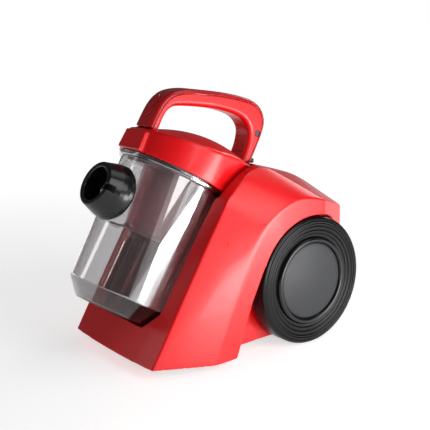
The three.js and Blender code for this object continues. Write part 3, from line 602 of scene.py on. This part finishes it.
def latch_plate(x, e, s):
    """The flat raised plate on the front of the lid."""
    half = PLATE_HALF_WIDTH - PLATE_TAPER * (s - LID_BOTTOM)
    ends = np.maximum(LID_BOTTOM - s, s - PLATE_TOP)
    plate = meet(meet(np.abs(x) - half, ends, 1.6), -LID_R - PLATE_PROUD - e, 1.4)
    return np.maximum(plate, e + LID_R - PLATE_DEPTH)


def grip_panel(p):
    """The shallow panel let into the inside of the handle's rear leg."""
    x, y, z = p.T
    panel = np.maximum(line_distance(INNER_LINE, y, z) - GRIP_PANEL_DEPTH,
                       np.abs(x) - GRIP_PANEL_HALF_WIDTH)
    ends = np.maximum(np.abs(z - GRIP_PANEL_Z) - GRIP_PANEL_HALF_HEIGHT, GRIP_PANEL_Y - y)
    return np.maximum(panel, ends)


def lid_body(p):
    """The lid with its latch plate and the inner part of the handle."""
    x, e, s = cup_axes(p)
    shell = join(lid_outside(x, e, s, 0), latch_plate(x, e, s), PLATE_FILLET)
    seam = HANDLE_CAP + HALF_SEAM - line_distance(OUTER_LINE, p[:, 1], p[:, 2])
    grip = meet(meet(handle_bar(p), seam, SEAM_ROUND), -grip_panel(p), CUT_ROUND)
    whole = meet(join(shell, grip, GRIP_FILLET), LID_BOTTOM - s, LID_FOOT_ROUND)
    whole = np.maximum(np.maximum(whole, -lid_outside(x, e, s, WALL)), -duct_hole(x, e, s))
    return meet(whole, -handle_cuts(p), CUT_ROUND)


def handle_cap(p):
    """The cover along the outside of the handle."""
    x, e, s = cup_axes(p)
    edge = line_distance(OUTER_LINE, p[:, 1], p[:, 2]) - HANDLE_CAP + HALF_SEAM
    cap = meet(handle_bar(p), edge, SEAM_ROUND)
    plate = latch_plate(x, e, s) - COVER_OFF_PLATE
    lid = np.minimum(lid_outside(x, e, s, -COVER_OFF_LID), plate)
    return meet(np.maximum(cap, -lid), -handle_cuts(p), CUT_ROUND)


def release_button(p):
    """A crowned leaf of a button, on a hollow stub that holds its spring."""
    u, v, w = button_axes(p)
    top = w - BUTTON_TOP + BUTTON_CROWN * u ** 2
    pad = meet(leaf(u, v, 0), np.maximum(top, BUTTON_UNDER - w), 0.9)
    ring = np.abs(np.hypot(u, v) - STUB_R) - STUB_HALF_WALL
    return np.minimum(pad, np.maximum(ring, np.abs(w - STUB_MIDDLE) - STUB_HALF_HEIGHT))


# ---- Hose port, along -e ----

PORT_SPIGOT_R = PORT_ROOT_R - 5
SLOT_HALF_WIDTH, SLOT_LENGTH, SLOT_INSET = 3.0, 9.0, 3.0
CATCH_UP, CATCH_HALF_HEIGHT, CATCH_X, CATCH_OUT, CATCH_HALF_LENGTH = 3.0, 6.0, 22.0, 77.0, 3.0
PORT_PROFILE = [
    (0, 50), (PORT_SPIGOT_R, 50), (PORT_SPIGOT_R, 55), (PORT_ROOT_R, 55.5), (PORT_ROOT_R + 0.4, 60),
    (30.7, 65), (29.6, 70), (28, 75), (26.5, 80), (25.2, 84), (PORT_R, 87), (0, 87),
]


def hose_port(p):
    """The bulging socket on the cup, with the slot and catch that lock a hose in."""
    x, e, s = cup_axes(p)
    up, out = s - PORT_S, -e
    radial = np.hypot(x, up)
    body = meet(turned_distance(PORT_PROFILE, radial, out), out - PORT_MOUTH, 1.8)
    cup_side = np.hypot(x, e) - CUP_R - (CUP_TOP_R - CUP_R) * s / CUP_HEIGHT - GAP
    body = np.maximum(body, np.minimum(-cup_side, radial - PORT_SPIGOT_R))
    port = meet(body, PORT_BORE_R - radial, 2.2)
    inner = PORT_BORE_R - SLOT_INSET - x
    slot = np.maximum(np.maximum(np.abs(up) - SLOT_HALF_WIDTH, inner), PORT_MOUTH - SLOT_LENGTH - out)
    catch = np.maximum(np.abs(up - CATCH_UP) - CATCH_HALF_HEIGHT, np.maximum(inner, x - CATCH_X))
    catch = np.maximum(catch, np.abs(out - CATCH_OUT) - CATCH_HALF_LENGTH)
    return meet(port, -np.minimum(slot, catch), 0.8)


# ---- Turned parts ----


def rounded(line, radius, steps=3):
    """A line of [r, h] with its corners rounded."""
    pts = [np.array(p, float) for p in line]
    out = [pts[0]]
    for a, b, c in zip(pts[:-2], pts[1:-1], pts[2:]):
        reach = [min(radius, 0.45 * np.linalg.norm(q - b)) for q in (a, c)]
        p = b + (a - b) / max(np.linalg.norm(a - b), 1e-9) * reach[0]
        q = b + (c - b) / max(np.linalg.norm(c - b), 1e-9) * reach[1]
        for k in range(steps + 1):
            t = k / steps
            out.append((1 - t) ** 2 * p + 2 * t * (1 - t) * b + t * t * q)
    return out + [pts[-1]]


def towards(place, direction):
    """Matrix that turns +Z to a direction and moves the origin to a place in the machine's axes."""
    swing = Vector((0, 0, 1)).rotation_difference(Vector(direction)).to_matrix().to_4x4()
    return Matrix.Translation(Vector((place[0], place[1] + SHIFT_Y, place[2])) * MM) @ swing


ON_AXIS = 1e-6


def turn(name, line, matrix, segments=128, closed=False):
    """A turned object from a line of [r, h] in millimetres; a closed line makes a ring."""
    bm = bmesh.new()
    angles = [2 * math.pi * i / segments for i in range(segments)]
    rings = []
    for r, h in line[:-1] if closed else line:
        ring = [(r * math.cos(a) * MM, r * math.sin(a) * MM, h * MM) for a in angles]
        if r < ON_AXIS:
            ring = [(0, 0, h * MM)]
        rings.append([bm.verts.new(place) for place in ring])
    pairs = list(zip(rings[:-1], rings[1:])) + ([(rings[-1], rings[0])] if closed else [])
    for a, b in pairs:
        for i in range(segments):
            j = (i + 1) % segments
            corners = [a[i % len(a)], a[j % len(a)], b[j % len(b)], b[i % len(b)]]
            face = list(dict.fromkeys(corners))
            if len(face) > 2:
                bm.faces.new(face)
    bmesh.ops.remove_doubles(bm, verts=bm.verts, dist=1e-6)
    bmesh.ops.recalc_face_normals(bm, faces=bm.faces)
    bmesh.ops.transform(bm, matrix=matrix, verts=bm.verts)
    return from_bmesh(name, bm)


SHARP = math.radians(38)


def from_bmesh(name, bm):
    """A mesh object of a bmesh, smooth except at its sharp edges."""
    mesh = bpy.data.meshes.new(name)
    bm.to_mesh(mesh)
    bm.free()
    mesh.polygons.foreach_set("use_smooth", np.ones(len(mesh.polygons), bool))
    mesh.set_sharp_from_angle(angle=SHARP)
    obj = bpy.data.objects.new(name, mesh)
    bpy.context.scene.collection.objects.link(obj)
    return obj


def cut_with(obj, tool):
    """Cuts one object with another, which is then thrown away."""
    change = obj.modifiers.new("cut", "BOOLEAN")
    change.operation, change.solver, change.object = "DIFFERENCE", "EXACT", tool
    bpy.context.view_layer.update()
    evaluated = obj.evaluated_get(bpy.context.evaluated_depsgraph_get())
    mesh = bpy.data.meshes.new_from_object(evaluated)
    obj.modifiers.clear()
    obj.data = mesh
    mesh.set_sharp_from_angle(angle=SHARP)
    bpy.data.objects.remove(tool)


PORT_HOLE_START, PORT_HOLE_END = 30, 90


def dust_cup():
    """The clear cup with its chamfered foot, and the hole that the hose port plugs into."""
    wall = CUP_WALL
    outside = [(0, -CUP_FOOT_DROP), (CUP_FOOT_R, -CUP_FOOT_DROP), (CUP_R - 0.6, -1.2), (CUP_R, 1.0),
               (CUP_TOP_R, CUP_HEIGHT)]
    inside = [(CUP_TOP_R - wall, CUP_HEIGHT), (CUP_R - wall, 0.6), (CUP_R - wall - 0.6, -0.6),
              (CUP_FOOT_R - 1.6, wall - CUP_FOOT_DROP), (0, wall - CUP_FOOT_DROP)]
    line = rounded(outside + inside, 0.9)
    cup = turn("dust_cup_shell", line, CUP_MATRIX, 192)
    hole = [(0, PORT_HOLE_START), (PORT_SPIGOT_R + GAP, PORT_HOLE_START),
            (PORT_SPIGOT_R + GAP, PORT_HOLE_END), (0, PORT_HOLE_END)]
    side = CUP_MATRIX @ Matrix.Translation((0, 0, PORT_S * MM)) @ Matrix.Rotation(math.pi / 2, 4, "X")
    cut_with(cup, turn("hole", hole, side, 96))
    return cup


def cup_rim():
    inner = CUP_TOP_R - CUP_WALL
    under = CUP_HEIGHT + GAP
    line = [(inner + 1, under), (RIM_R - 1, under), (RIM_R, RIM_BOTTOM + 0.8),
            (RIM_R, RIM_TOP - 1.6), (RIM_R - 1.2, RIM_TOP - 1.2), (RIM_R - 1.6, RIM_TOP),
            (inner, RIM_TOP), (inner, under), (inner + 1, under)]
    return turn("cup_rim_ring", rounded(line, 0.5), CUP_MATRIX, 160, True)


CONE_BOTTOM, CONE_TOP = 66.0, 139.0


def cyclone_cone():
    """The funnel, which narrows downward, with a flange at its top and its bottom."""
    low, high = CONE_BOTTOM, CONE_TOP
    line = [(24, low), (43.4, low), (44.4, low + 0.8), (43.8, low + 2.2), (26.5, low + 3.4),
            (25.4, low + 6), (33, high - 3.4), (53.4, high - 2.4), (54, high - 1.4), (53.4, high),
            (31, high), (22.4, low + 4), (22, low + 0.6), (24, low)]
    return turn("cyclone_funnel", rounded(line, 0.7), CUP_MATRIX, 144, True)


POST_R, POST_TOP = 10.0, 64.0
FINS, FIN_REACH, FIN_HALF_WIDTH = 3, 17.0, 1.25
FIN_LOW, FIN_SHOULDER, FIN_HIGH, FIN_DRAWN_IN = -2.0, 50.0, 60.0, 3


def centre_post(p):
    """The round post under the funnel, with fins whose upper ends are rounded off."""
    x, e, s = cup_axes(p)
    low = CUP_WALL + GAP - CUP_FOOT_DROP
    body = capped(np.hypot(x, e) - POST_R, s, low, POST_TOP, 1.5)
    for k in range(FINS):
        a = 2 * math.pi * k / FINS
        across, out = x * math.cos(a) + e * math.sin(a), e * math.cos(a) - x * math.sin(a)
        rise = np.clip((s - FIN_SHOULDER) / (FIN_HIGH - FIN_SHOULDER), 0, 1)
        drawn_in = FIN_DRAWN_IN * rise ** 2
        ends = np.maximum(-out, out - FIN_REACH + drawn_in)
        fin = np.maximum(np.abs(across) - FIN_HALF_WIDTH, ends)
        body = join(body, capped(fin, s, FIN_LOW, FIN_HIGH), 1.5)
    return body


FRAME_INNER_R, FRAME_OUTER_R, FRAME_WALL, FRAME_FLOOR, FRAME_HEIGHT = 29.0, 52.0, 2.4, 2.0, 15.0


def filter_frame():
    """A round tray with a hole in its floor, standing on the funnel's flange."""
    low = CONE_TOP + GAP
    inner = FRAME_OUTER_R - FRAME_WALL
    line = [(FRAME_INNER_R, low), (FRAME_OUTER_R, low), (FRAME_OUTER_R, low + FRAME_HEIGHT),
            (inner, low + FRAME_HEIGHT), (inner, low + FRAME_FLOOR),
            (FRAME_INNER_R, low + FRAME_FLOOR), (FRAME_INNER_R, low)]
    return turn("filter_frame_ring", rounded(line, 0.5), CUP_MATRIX, 128, True)


# ---- Wheels ----

# Half sections [radius, distance out from the wheel's inner face]
TREAD_R, TYRE_INNER_R = 75.0, 67.5
RIM_OUTER_R, RIM_SEAT_R = 67.2, 51.3
TRIM_INNER_R, TRIM_OUTER_R, CAP_R = 45.0, 51.0, 44.7
GROOVE, GROOVE_PLACES = 0.6, (6.8, 11.2, 15.6)
TREAD = [(TREAD_R - GROOVE * (k == 0), place + GROOVE * k)
         for place in GROOVE_PLACES for k in (-1, 0, 1)]
TYRE_LINE = [
    (TYRE_INNER_R, 0.6), (72.6, 0), (74.4, 0.8), (TREAD_R, 3), *TREAD, (TREAD_R, 18.6), (73.8, 20.9),
    (71.6, 22.0), (71, 21.2), (70.2, 21.4), (69.6, 22.4), (TYRE_INNER_R, 22.4), (TYRE_INNER_R, 0.6),
]
RIM_LINE = [
    (AXLE_HOLE_R, 6), (12, 6), (14, 14), (52, 14), (60, 2), (RIM_OUTER_R, 2), (RIM_OUTER_R, 22.2),
    (65.2, 22.1), (64.6, 20.9), (63.8, 20.9), (63.2, 21.6), (60.6, 21.3), (60, 20.1), (59.2, 20.1),
    (58.6, 20.9), (55.8, 20.5), (55.2, 19.3), (RIM_SEAT_R, 19), (RIM_SEAT_R, 17), (AXLE_HOLE_R, 17),
    (AXLE_HOLE_R, 6),
]
TRIM_LINE = [
    (TRIM_INNER_R, 17.3), (TRIM_OUTER_R, 17.3), (TRIM_OUTER_R, 20.2), (49.8, 22.1), (48, 22.8),
    (46.2, 22.2), (TRIM_INNER_R, 20.6), (TRIM_INNER_R, 17.3),
]
CAP_LINE = [
    (0, 18.2), (CAP_R, 18.2), (CAP_R, 19.4), (43.6, 20.5), (34, 21.6), (18, 22.7), (8, 22.95), (0, 23),
]
# Piece, half section, rounding of its corners, and whether it is a ring
WHEEL_PIECES = [
    ("tyre", TYRE_LINE, 0.5, True), ("rim", RIM_LINE, 0.6, True), ("trim", TRIM_LINE, 1.2, True),
    ("cap", CAP_LINE, 3.0, False),
]


def wheel(side):
    """The four pieces of one road wheel, from its inner face outward."""
    tag = "left" if side > 0 else "right"
    low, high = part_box(f"wheel_tyre_{tag}")
    start = (low[0] if side > 0 else high[0]) / MM
    matrix = towards((start, WHEEL_Y, WHEEL_R), (side, 0, 0))
    pieces = []
    for kind, line, radius, closed in WHEEL_PIECES:
        piece = turn(f"{kind}_{tag}", rounded(line, radius), matrix, 192, closed)
        pieces.append((piece, f"wheel_{kind}_{tag}"))
    return pieces


CASTER_BORE_R = 1.8


def caster_wheel():
    """A small wheel with a raised tread, the same on both faces."""
    x, y, z = centre("caster_wheel")
    width, _, height = extent("caster_wheel")
    radius, half = height / 2, width / 2
    face = [(CASTER_BORE_R, half), (radius - 4.5, half), (radius - 3.6, half - 0.7),
            (radius - 1.6, half - 0.4), (radius, half - 2.6)]
    line = [(r, -h) for r, h in face] + face[::-1] + [(CASTER_BORE_R, -half)]
    matrix = towards((x, y - SHIFT_Y, z), (1, 0, 0))
    return turn("caster_roller", rounded(line, 0.9), matrix, 96, True)


# ---- Rear panel ----

BUTTON_DEPTH, STEM_R = 7.0, 3.0


def rear_button(node):
    """A dished round button on its stem."""
    low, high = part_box(node)
    x, _, z = centre(node)
    face, back = high[1] / MM - SHIFT_Y, low[1] / MM - SHIFT_Y
    length = face - back
    under = length - BUTTON_DEPTH
    line = [(0, 0), (STEM_R, 0), (STEM_R, under), (BUTTON_R, under), (BUTTON_R, length - 1.4),
            (BUTTON_R - 1.2, length), (BUTTON_R - 2.6, length - 0.3), (5, length - 1.3),
            (0, length - 1.5)]
    return turn(node + "_moulded", rounded(line, 0.9), towards((x, back, z), (0, 1, 0)), 96)


def cord_outlet():
    """A collared grommet that the mains cord would leave through."""
    low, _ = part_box("cord_outlet")
    x, _, z = centre("cord_outlet")
    length = extent("cord_outlet")[1]
    line = [(5.6, 0), (8.6, 0), (8.6, 9), (10.6, 9.2), (11, 9.8), (10.8, 10.8), (9, length),
            (6.8, length), (5.4, length - 1.4), (5, length - 3), (5, 0.6), (5.6, 0)]
    matrix = towards((x, low[1] / MM - SHIFT_Y, z), (0, 1, 0))
    return turn("cord_grommet", rounded(line, 0.7), matrix, 96, True)


# ---- Materials ----

# The Mix node's colour sockets, which share their names with its number sockets
MIX_COLOUR_A, MIX_COLOUR_B, MIX_COLOUR_OUT = 6, 7, 2
GRAIN_DEPTH = 0.0004
CLOUD_SCALE, GLOSS_SCALE, RUB_SCALE = 14, 22, 55
COAT_ROUGHNESS, COAT_IOR, CLEAR_COAT_IOR = 0.06, 1.5, 2.3


def finish_of(name, colour, roughness, metallic=0.0, coat=0.0, grain=(900, 0.03), tint=0.08, clear=0.0,
              wear=0.06, spread=0.12, sheen=0.0, specular=0.5):
    """A moulded or metal surface: tinted by slow noise, with light rubs and uneven gloss.

    grain is the scale and the strength of its fine bumps, and clear is how far light passes through.
    """
    material = bpy.data.materials.new(name)
    material.use_nodes = True
    nodes, links = material.node_tree.nodes, material.node_tree.links
    shader = nodes["Principled BSDF"]
    space = nodes.new("ShaderNodeTexCoord").outputs["Object"]

    def noise(scale, detail=3.0):
        node = nodes.new("ShaderNodeTexNoise")
        node.inputs["Scale"].default_value = scale
        node.inputs["Detail"].default_value = detail
        links.new(space, node.inputs["Vector"])
        return node.outputs["Fac"]

    def ramp(source, low, high, a, b):
        node = nodes.new("ShaderNodeMapRange")
        for key, value in (("From Min", low), ("From Max", high), ("To Min", a), ("To Max", b)):
            node.inputs[key].default_value = value
        links.new(source, node.inputs["Value"])
        return node.outputs["Result"]

    def mixed(factor, a, b):
        node = nodes.new("ShaderNodeMix")
        node.data_type = "RGBA"
        links.new(factor, node.inputs["Factor"])
        node.inputs[MIX_COLOUR_A].default_value = (*a, 1)
        node.inputs[MIX_COLOUR_B].default_value = (*b, 1)
        return node.outputs[MIX_COLOUR_OUT]

    dark = [c * (1 - tint) for c in colour]
    light = [min(1, c * (1 + tint) + 0.004 * tint) for c in colour]
    clouds = ramp(noise(CLOUD_SCALE), 0.3, 0.7, 0, 1)
    links.new(mixed(clouds, dark, light), shader.inputs["Base Color"])
    rubs = ramp(noise(RUB_SCALE, 6), 0.55, 0.8, 0, wear)
    gloss = ramp(noise(GLOSS_SCALE, 4), 0.3, 0.7, roughness * (1 - spread), roughness * (1 + spread))
    total = nodes.new("ShaderNodeMath")
    links.new(gloss, total.inputs[0])
    links.new(rubs, total.inputs[1])
    links.new(total.outputs[0], shader.inputs["Roughness"])
    bump = nodes.new("ShaderNodeBump")
    bump.inputs["Strength"].default_value = grain[1]
    bump.inputs["Distance"].default_value = GRAIN_DEPTH
    links.new(noise(grain[0], 2), bump.inputs["Height"])
    links.new(bump.outputs["Normal"], shader.inputs["Normal"])
    shader.inputs["Metallic"].default_value = metallic
    shader.inputs["Coat Weight"].default_value = coat
    shader.inputs["Coat Roughness"].default_value = COAT_ROUGHNESS
    shader.inputs["Coat IOR"].default_value = CLEAR_COAT_IOR if clear == 1 else COAT_IOR
    shader.inputs["Transmission Weight"].default_value = clear
    shader.inputs["Sheen Weight"].default_value = sheen
    shader.inputs["Specular IOR Level"].default_value = specular
    return material


LOOKS = {
    "red_shell": dict(
        colour=(0.66, 0.003, 0.006), roughness=0.3, coat=0.1, grain=(1500, 0.015), tint=0.05,
        specular=0.4),
    # dark_red: a darker red than the shell, painted shade on the handle cover's top and front and on
    # the release button
    "dark_red": dict(
        colour=(0.4, 0.002, 0.005), roughness=0.28, coat=0.1, grain=(1500, 0.02), tint=0.07),
    "maroon": dict(colour=(0.12, 0.003, 0.008), roughness=0.3, grain=(1200, 0.03), specular=0.3),
    "black_gloss": dict(
        colour=(0.003, 0.003, 0.004), roughness=0.22, coat=0.05, grain=(1400, 0.02), specular=0.4),
    "grey_plastic": dict(
        colour=(0.02, 0.021, 0.023), roughness=0.45, grain=(1900, 0.12), tint=0.12, specular=0.35),
    "dark_satin": dict(
        colour=(0.003, 0.003, 0.0033), roughness=0.24, grain=(1700, 0.08), tint=0.12, specular=0.22),
    "rubber": dict(
        colour=(0.013, 0.013, 0.014), roughness=0.5, grain=(1500, 0.2), tint=0.15, wear=0.12),
    "clear_plastic": dict(
        colour=(0.95, 0.94, 0.95), roughness=0.03, clear=1.0, coat=1.0, grain=(60, 0.01), tint=0.01,
        wear=0.04),
    "smoky_plastic": dict(
        colour=(0.5, 0.49, 0.5), roughness=0.06, clear=1.0, grain=(90, 0.01), tint=0.02, wear=0.04),
    "rose_clear": dict(
        colour=(0.95, 0.48, 0.53), roughness=0.12, clear=0.75, grain=(700, 0.02), tint=0.05),
    "dark_steel": dict(
        colour=(0.08, 0.08, 0.085), roughness=0.4, metallic=1.0, grain=(2400, 0.08)),
    "steel": dict(
        colour=(0.6, 0.61, 0.63), roughness=0.3, metallic=1.0, grain=(2400, 0.08), tint=0.1, wear=0.1),
    "pale_plastic": dict(colour=(0.68, 0.68, 0.65), roughness=0.5, grain=(1700, 0.1), tint=0.05),
    "foam": dict(
        colour=(0.07, 0.075, 0.08), roughness=0.95, grain=(1100, 1.0), tint=0.4, sheen=0.2),
    "copper": dict(
        colour=(0.52, 0.22, 0.08), roughness=0.35, metallic=0.9, grain=(2600, 0.4), tint=0.25),
}
FINISHES = {name: finish_of(name, **look) for name, look in LOOKS.items()}

# The record's slot for each node; what isn't listed is steel
NODE_SLOTS = {
    "red_shell": ("body_shell", "lid"),
    # the darker red here is painted shade on the handle cover and the release button
    "dark_red": ("handle_cap", "release_button", "centre_post"),
    "black_gloss": (
        "cup_rim", "hose_port", "wheel_trim_left", "wheel_trim_right", "power_button", "cord_outlet",
        "exhaust_grille", "caster_fork", "latch_hook", "power_switch", "brake_lever"),
    "grey_plastic": (
        "floor_pan", "wheel_cap_left", "wheel_cap_right", "wheel_rim_left", "wheel_rim_right",
        "filter_frame", "reel_post", "control_bracket", "air_duct", "rewind_button"),
    "rubber": (
        "wheel_tyre_left", "wheel_tyre_right", "caster_wheel", "inlet_flap", "lid_gasket",
        "motor_mount_front", "motor_mount_rear"),
    "clear_plastic": ("dust_cup",),
    "rose_clear": ("cyclone_cone",),
    "pale_plastic": ("motor_housing", "reel_drum", "exhaust_filter"),
    "foam": ("filter_foam",),
    "copper": ("motor_stator",),
}
SLOT_OF = {node: slot for slot, nodes in NODE_SLOTS.items() for node in nodes}
BODIES = frame["record"]["behaviour"]["bodies"]
BODY_OF = {node: body for body, nodes in BODIES.items() for node in nodes}
# Where the photograph shows another finish than the slot's
SHOWN_AS = {
    "centre_post": "maroon", "cup_rim": "clear_plastic", "handle_screw": "dark_steel",
    "wheel_rim_left": "dark_satin", "wheel_rim_right": "dark_satin",
    "wheel_tyre_left": "dark_satin", "wheel_tyre_right": "dark_satin",
}
EDGE_SOFTNESS, EDGE_ANGLE = 0.35, math.radians(40)


def slot_of(node):
    return SLOT_OF.get(node, "steel")


def finish_for(node):
    return FINISHES[SHOWN_AS.get(node, slot_of(node))]


def stand_for(obj, node):
    """Puts a finished piece in the place of a CAD node."""
    obj.data.materials.clear()
    obj.data.materials.append(finish_for(node))
    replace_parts(obj, node)
    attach(obj, BODY_OF[node])


def keep(node):
    """Keeps a CAD node, with softened edges and its own finish."""
    obj = frame["nodes"][node]
    for slot in obj.material_slots:
        slot.material = finish_for(node)
    change = obj.modifiers.new("edges", "BEVEL")
    change.width, change.segments = EDGE_SOFTNESS * MM, 2
    change.limit_method, change.angle_limit = "ANGLE", EDGE_ANGLE
    change.harden_normals = False


# ---- The pieces ----

# Piece, CAD node, shape, lowest and highest corner that the shape is looked for in, and cell size
SCULPTED = [
    ("outer_shell", "body_shell", body_shell, [-100, -132, 6], [100, 168, 213], 1.6),
    ("lid_with_grip", "lid", lid_body, [-67, -118, 152], [67, 92, 296], 1.3),
    ("handle_cover", "handle_cap", handle_cap, [-17, -95, 205], [17, 88, 296], 0.8),
    ("release_pad", "release_button", release_button, [-8, -86, 258], [8, -48, 292], 0.45),
    ("hose_socket", "hose_port", hose_port, [-33, -160, 158], [33, -95, 224], 0.85),
    ("dust_post", "centre_post", centre_post, [-30, -140, 38], [30, -55, 152], 0.9),
]
for name, node, shape, low, high, step in SCULPTED:
    stand_for(sculpt(name, shape, low, high, step), node)


FOOT_TOP = -0.5


def smoke_the_foot(cup):
    """Gives the cup's chamfered foot a darker clear plastic than its wall."""
    cup.data.materials.append(FINISHES["smoky_plastic"])
    to_cup = CUP_MATRIX.inverted()
    for face in cup.data.polygons:
        face.material_index = int((to_cup @ face.center).z < FOOT_TOP * MM)


cup = dust_cup()
stand_for(cup, "dust_cup")
smoke_the_foot(cup)
for piece, node in (
    (cup_rim(), "cup_rim"), (cyclone_cone(), "cyclone_cone"), (filter_frame(), "filter_frame"),
    (caster_wheel(), "caster_wheel"), (rear_button("power_button"), "power_button"),
    (rear_button("rewind_button"), "rewind_button"), (cord_outlet(), "cord_outlet"),
    *wheel(1), *wheel(-1),
):
    stand_for(piece, node)

replaced = {node for obj in bpy.data.objects for node in obj.get("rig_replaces", [])}
for node in frame["nodes"]:
    if node not in replaced:
        keep(node)

# ---- Floor, light and camera ----

FOCAL_LENGTH, SENSOR_WIDTH = 71.16, 36
CAMERA_AZIMUTH, CAMERA_ELEVATION = 52.25, 12.709
CAMERA_PLACE = (0.77011, -0.57897, 0.36382)


def look_from(place, azimuth, elevation):
    """Matrix of a camera or light at a place that faces along a view direction."""
    a, e = math.radians(azimuth), math.radians(elevation)
    right = Vector((math.cos(a), math.sin(a), 0))
    up = Vector((-math.sin(a) * math.sin(e), math.cos(a) * math.sin(e), math.cos(e)))
    matrix = Matrix((right, up, right.cross(up))).transposed().to_4x4()
    matrix.translation = Vector(place)
    return matrix


def add_camera():
    """The camera at the photograph's viewing angle."""
    data = bpy.data.cameras.new("camera")
    data.lens, data.sensor_width = FOCAL_LENGTH, SENSOR_WIDTH
    camera = bpy.data.objects.new("camera", data)
    camera.matrix_world = look_from(CAMERA_PLACE, CAMERA_AZIMUTH, CAMERA_ELEVATION)
    bpy.context.scene.collection.objects.link(camera)
    bpy.context.scene.camera = camera


add_camera()

# The floor glows as painted light, dimmer near the object as painted shade round it and brighter with
# distance, until it is as bright as the background
FLOOR_HALF_SIZE = 40
GLOW_DISTANCES, GLOW_LEVELS = (0.25, 1.6), (0.62, 0.95)


def floor():
    """A pale floor that reaches the horizon, its glow painted light that is dimmed near the object as
    painted shade.
    """
    bm = bmesh.new()
    bmesh.ops.create_grid(bm, x_segments=8, y_segments=8, size=FLOOR_HALF_SIZE)
    obj = from_bmesh("studio_floor", bm)
    material = finish_of("studio_floor", (0.8, 0.8, 0.8), 0.4, grain=(40, 0.0), tint=0.004)
    shader = material.node_tree.nodes["Principled BSDF"]
    shader.inputs["Emission Color"].default_value = (1, 1, 1, 1)
    nodes, links = material.node_tree.nodes, material.node_tree.links
    reach = nodes.new("ShaderNodeVectorMath")
    reach.operation = "LENGTH"
    links.new(nodes["Texture Coordinate"].outputs["Object"], reach.inputs[0])
    # painted shade: the glow is lower near the object than far from it
    glow = nodes.new("ShaderNodeMapRange")
    glow.interpolation_type = "SMOOTHSTEP"
    glow.inputs["From Min"].default_value, glow.inputs["From Max"].default_value = GLOW_DISTANCES
    glow.inputs["To Min"].default_value, glow.inputs["To Max"].default_value = GLOW_LEVELS
    links.new(reach.outputs["Value"], glow.inputs["Value"])
    links.new(glow.outputs["Result"], shader.inputs["Emission Strength"])
    obj.data.materials.append(material)


floor()
bpy.context.scene.view_settings.view_transform = "Standard"

LIGHT_TARGET = (0, 0, 0.115)
# Name, azimuth and elevation that it shines from, distance, width, height, power
LIGHTS = [
    ("low_card", 107, -3, 0.62, 0.48, 0.16, 3.2),
    ("key", 98, 30, 1.5, 0.9, 0.8, 8),
    ("left_strip", -38, 12, 1.4, 0.22, 1.2, 1.2),
    ("top_rear", 150, 62, 1.5, 0.7, 0.7, 2.2),
    ("back_strip", 190, 30, 1.6, 0.5, 0.6, 4),
]


def add_light(name, azimuth, elevation, distance, width, height, power):
    """A soft light that faces the middle of the object."""
    a, e = math.radians(azimuth), math.radians(elevation)
    out = Vector((math.sin(a) * math.cos(e), -math.cos(a) * math.cos(e), math.sin(e)))
    place = Vector(LIGHT_TARGET) + distance * out
    data = bpy.data.lights.new(name, "AREA")
    data.shape, data.size, data.size_y, data.energy = "RECTANGLE", width, height, power
    obj = bpy.data.objects.new(name, data)
    obj.matrix_world = look_from(place, azimuth, elevation)
    bpy.context.scene.collection.objects.link(obj)


for light in LIGHTS:
    add_light(*light)


def studio_world(seen=1.0, cast=0.1):
    """White as the camera sees it, and a faint white light on the object from all round."""
    world = bpy.data.worlds.new("studio")
    bpy.context.scene.world = world
    world.use_nodes = True
    nodes, links = world.node_tree.nodes, world.node_tree.links
    path = nodes.new("ShaderNodeLightPath")
    level = nodes.new("ShaderNodeMapRange")
    level.inputs["To Min"].default_value = cast
    level.inputs["To Max"].default_value = seen
    links.new(path.outputs["Is Camera Ray"], level.inputs["Value"])
    links.new(level.outputs["Result"], nodes["Background"].inputs["Strength"])
    nodes["Background"].inputs["Color"].default_value = (1, 1, 1, 1)


studio_world()
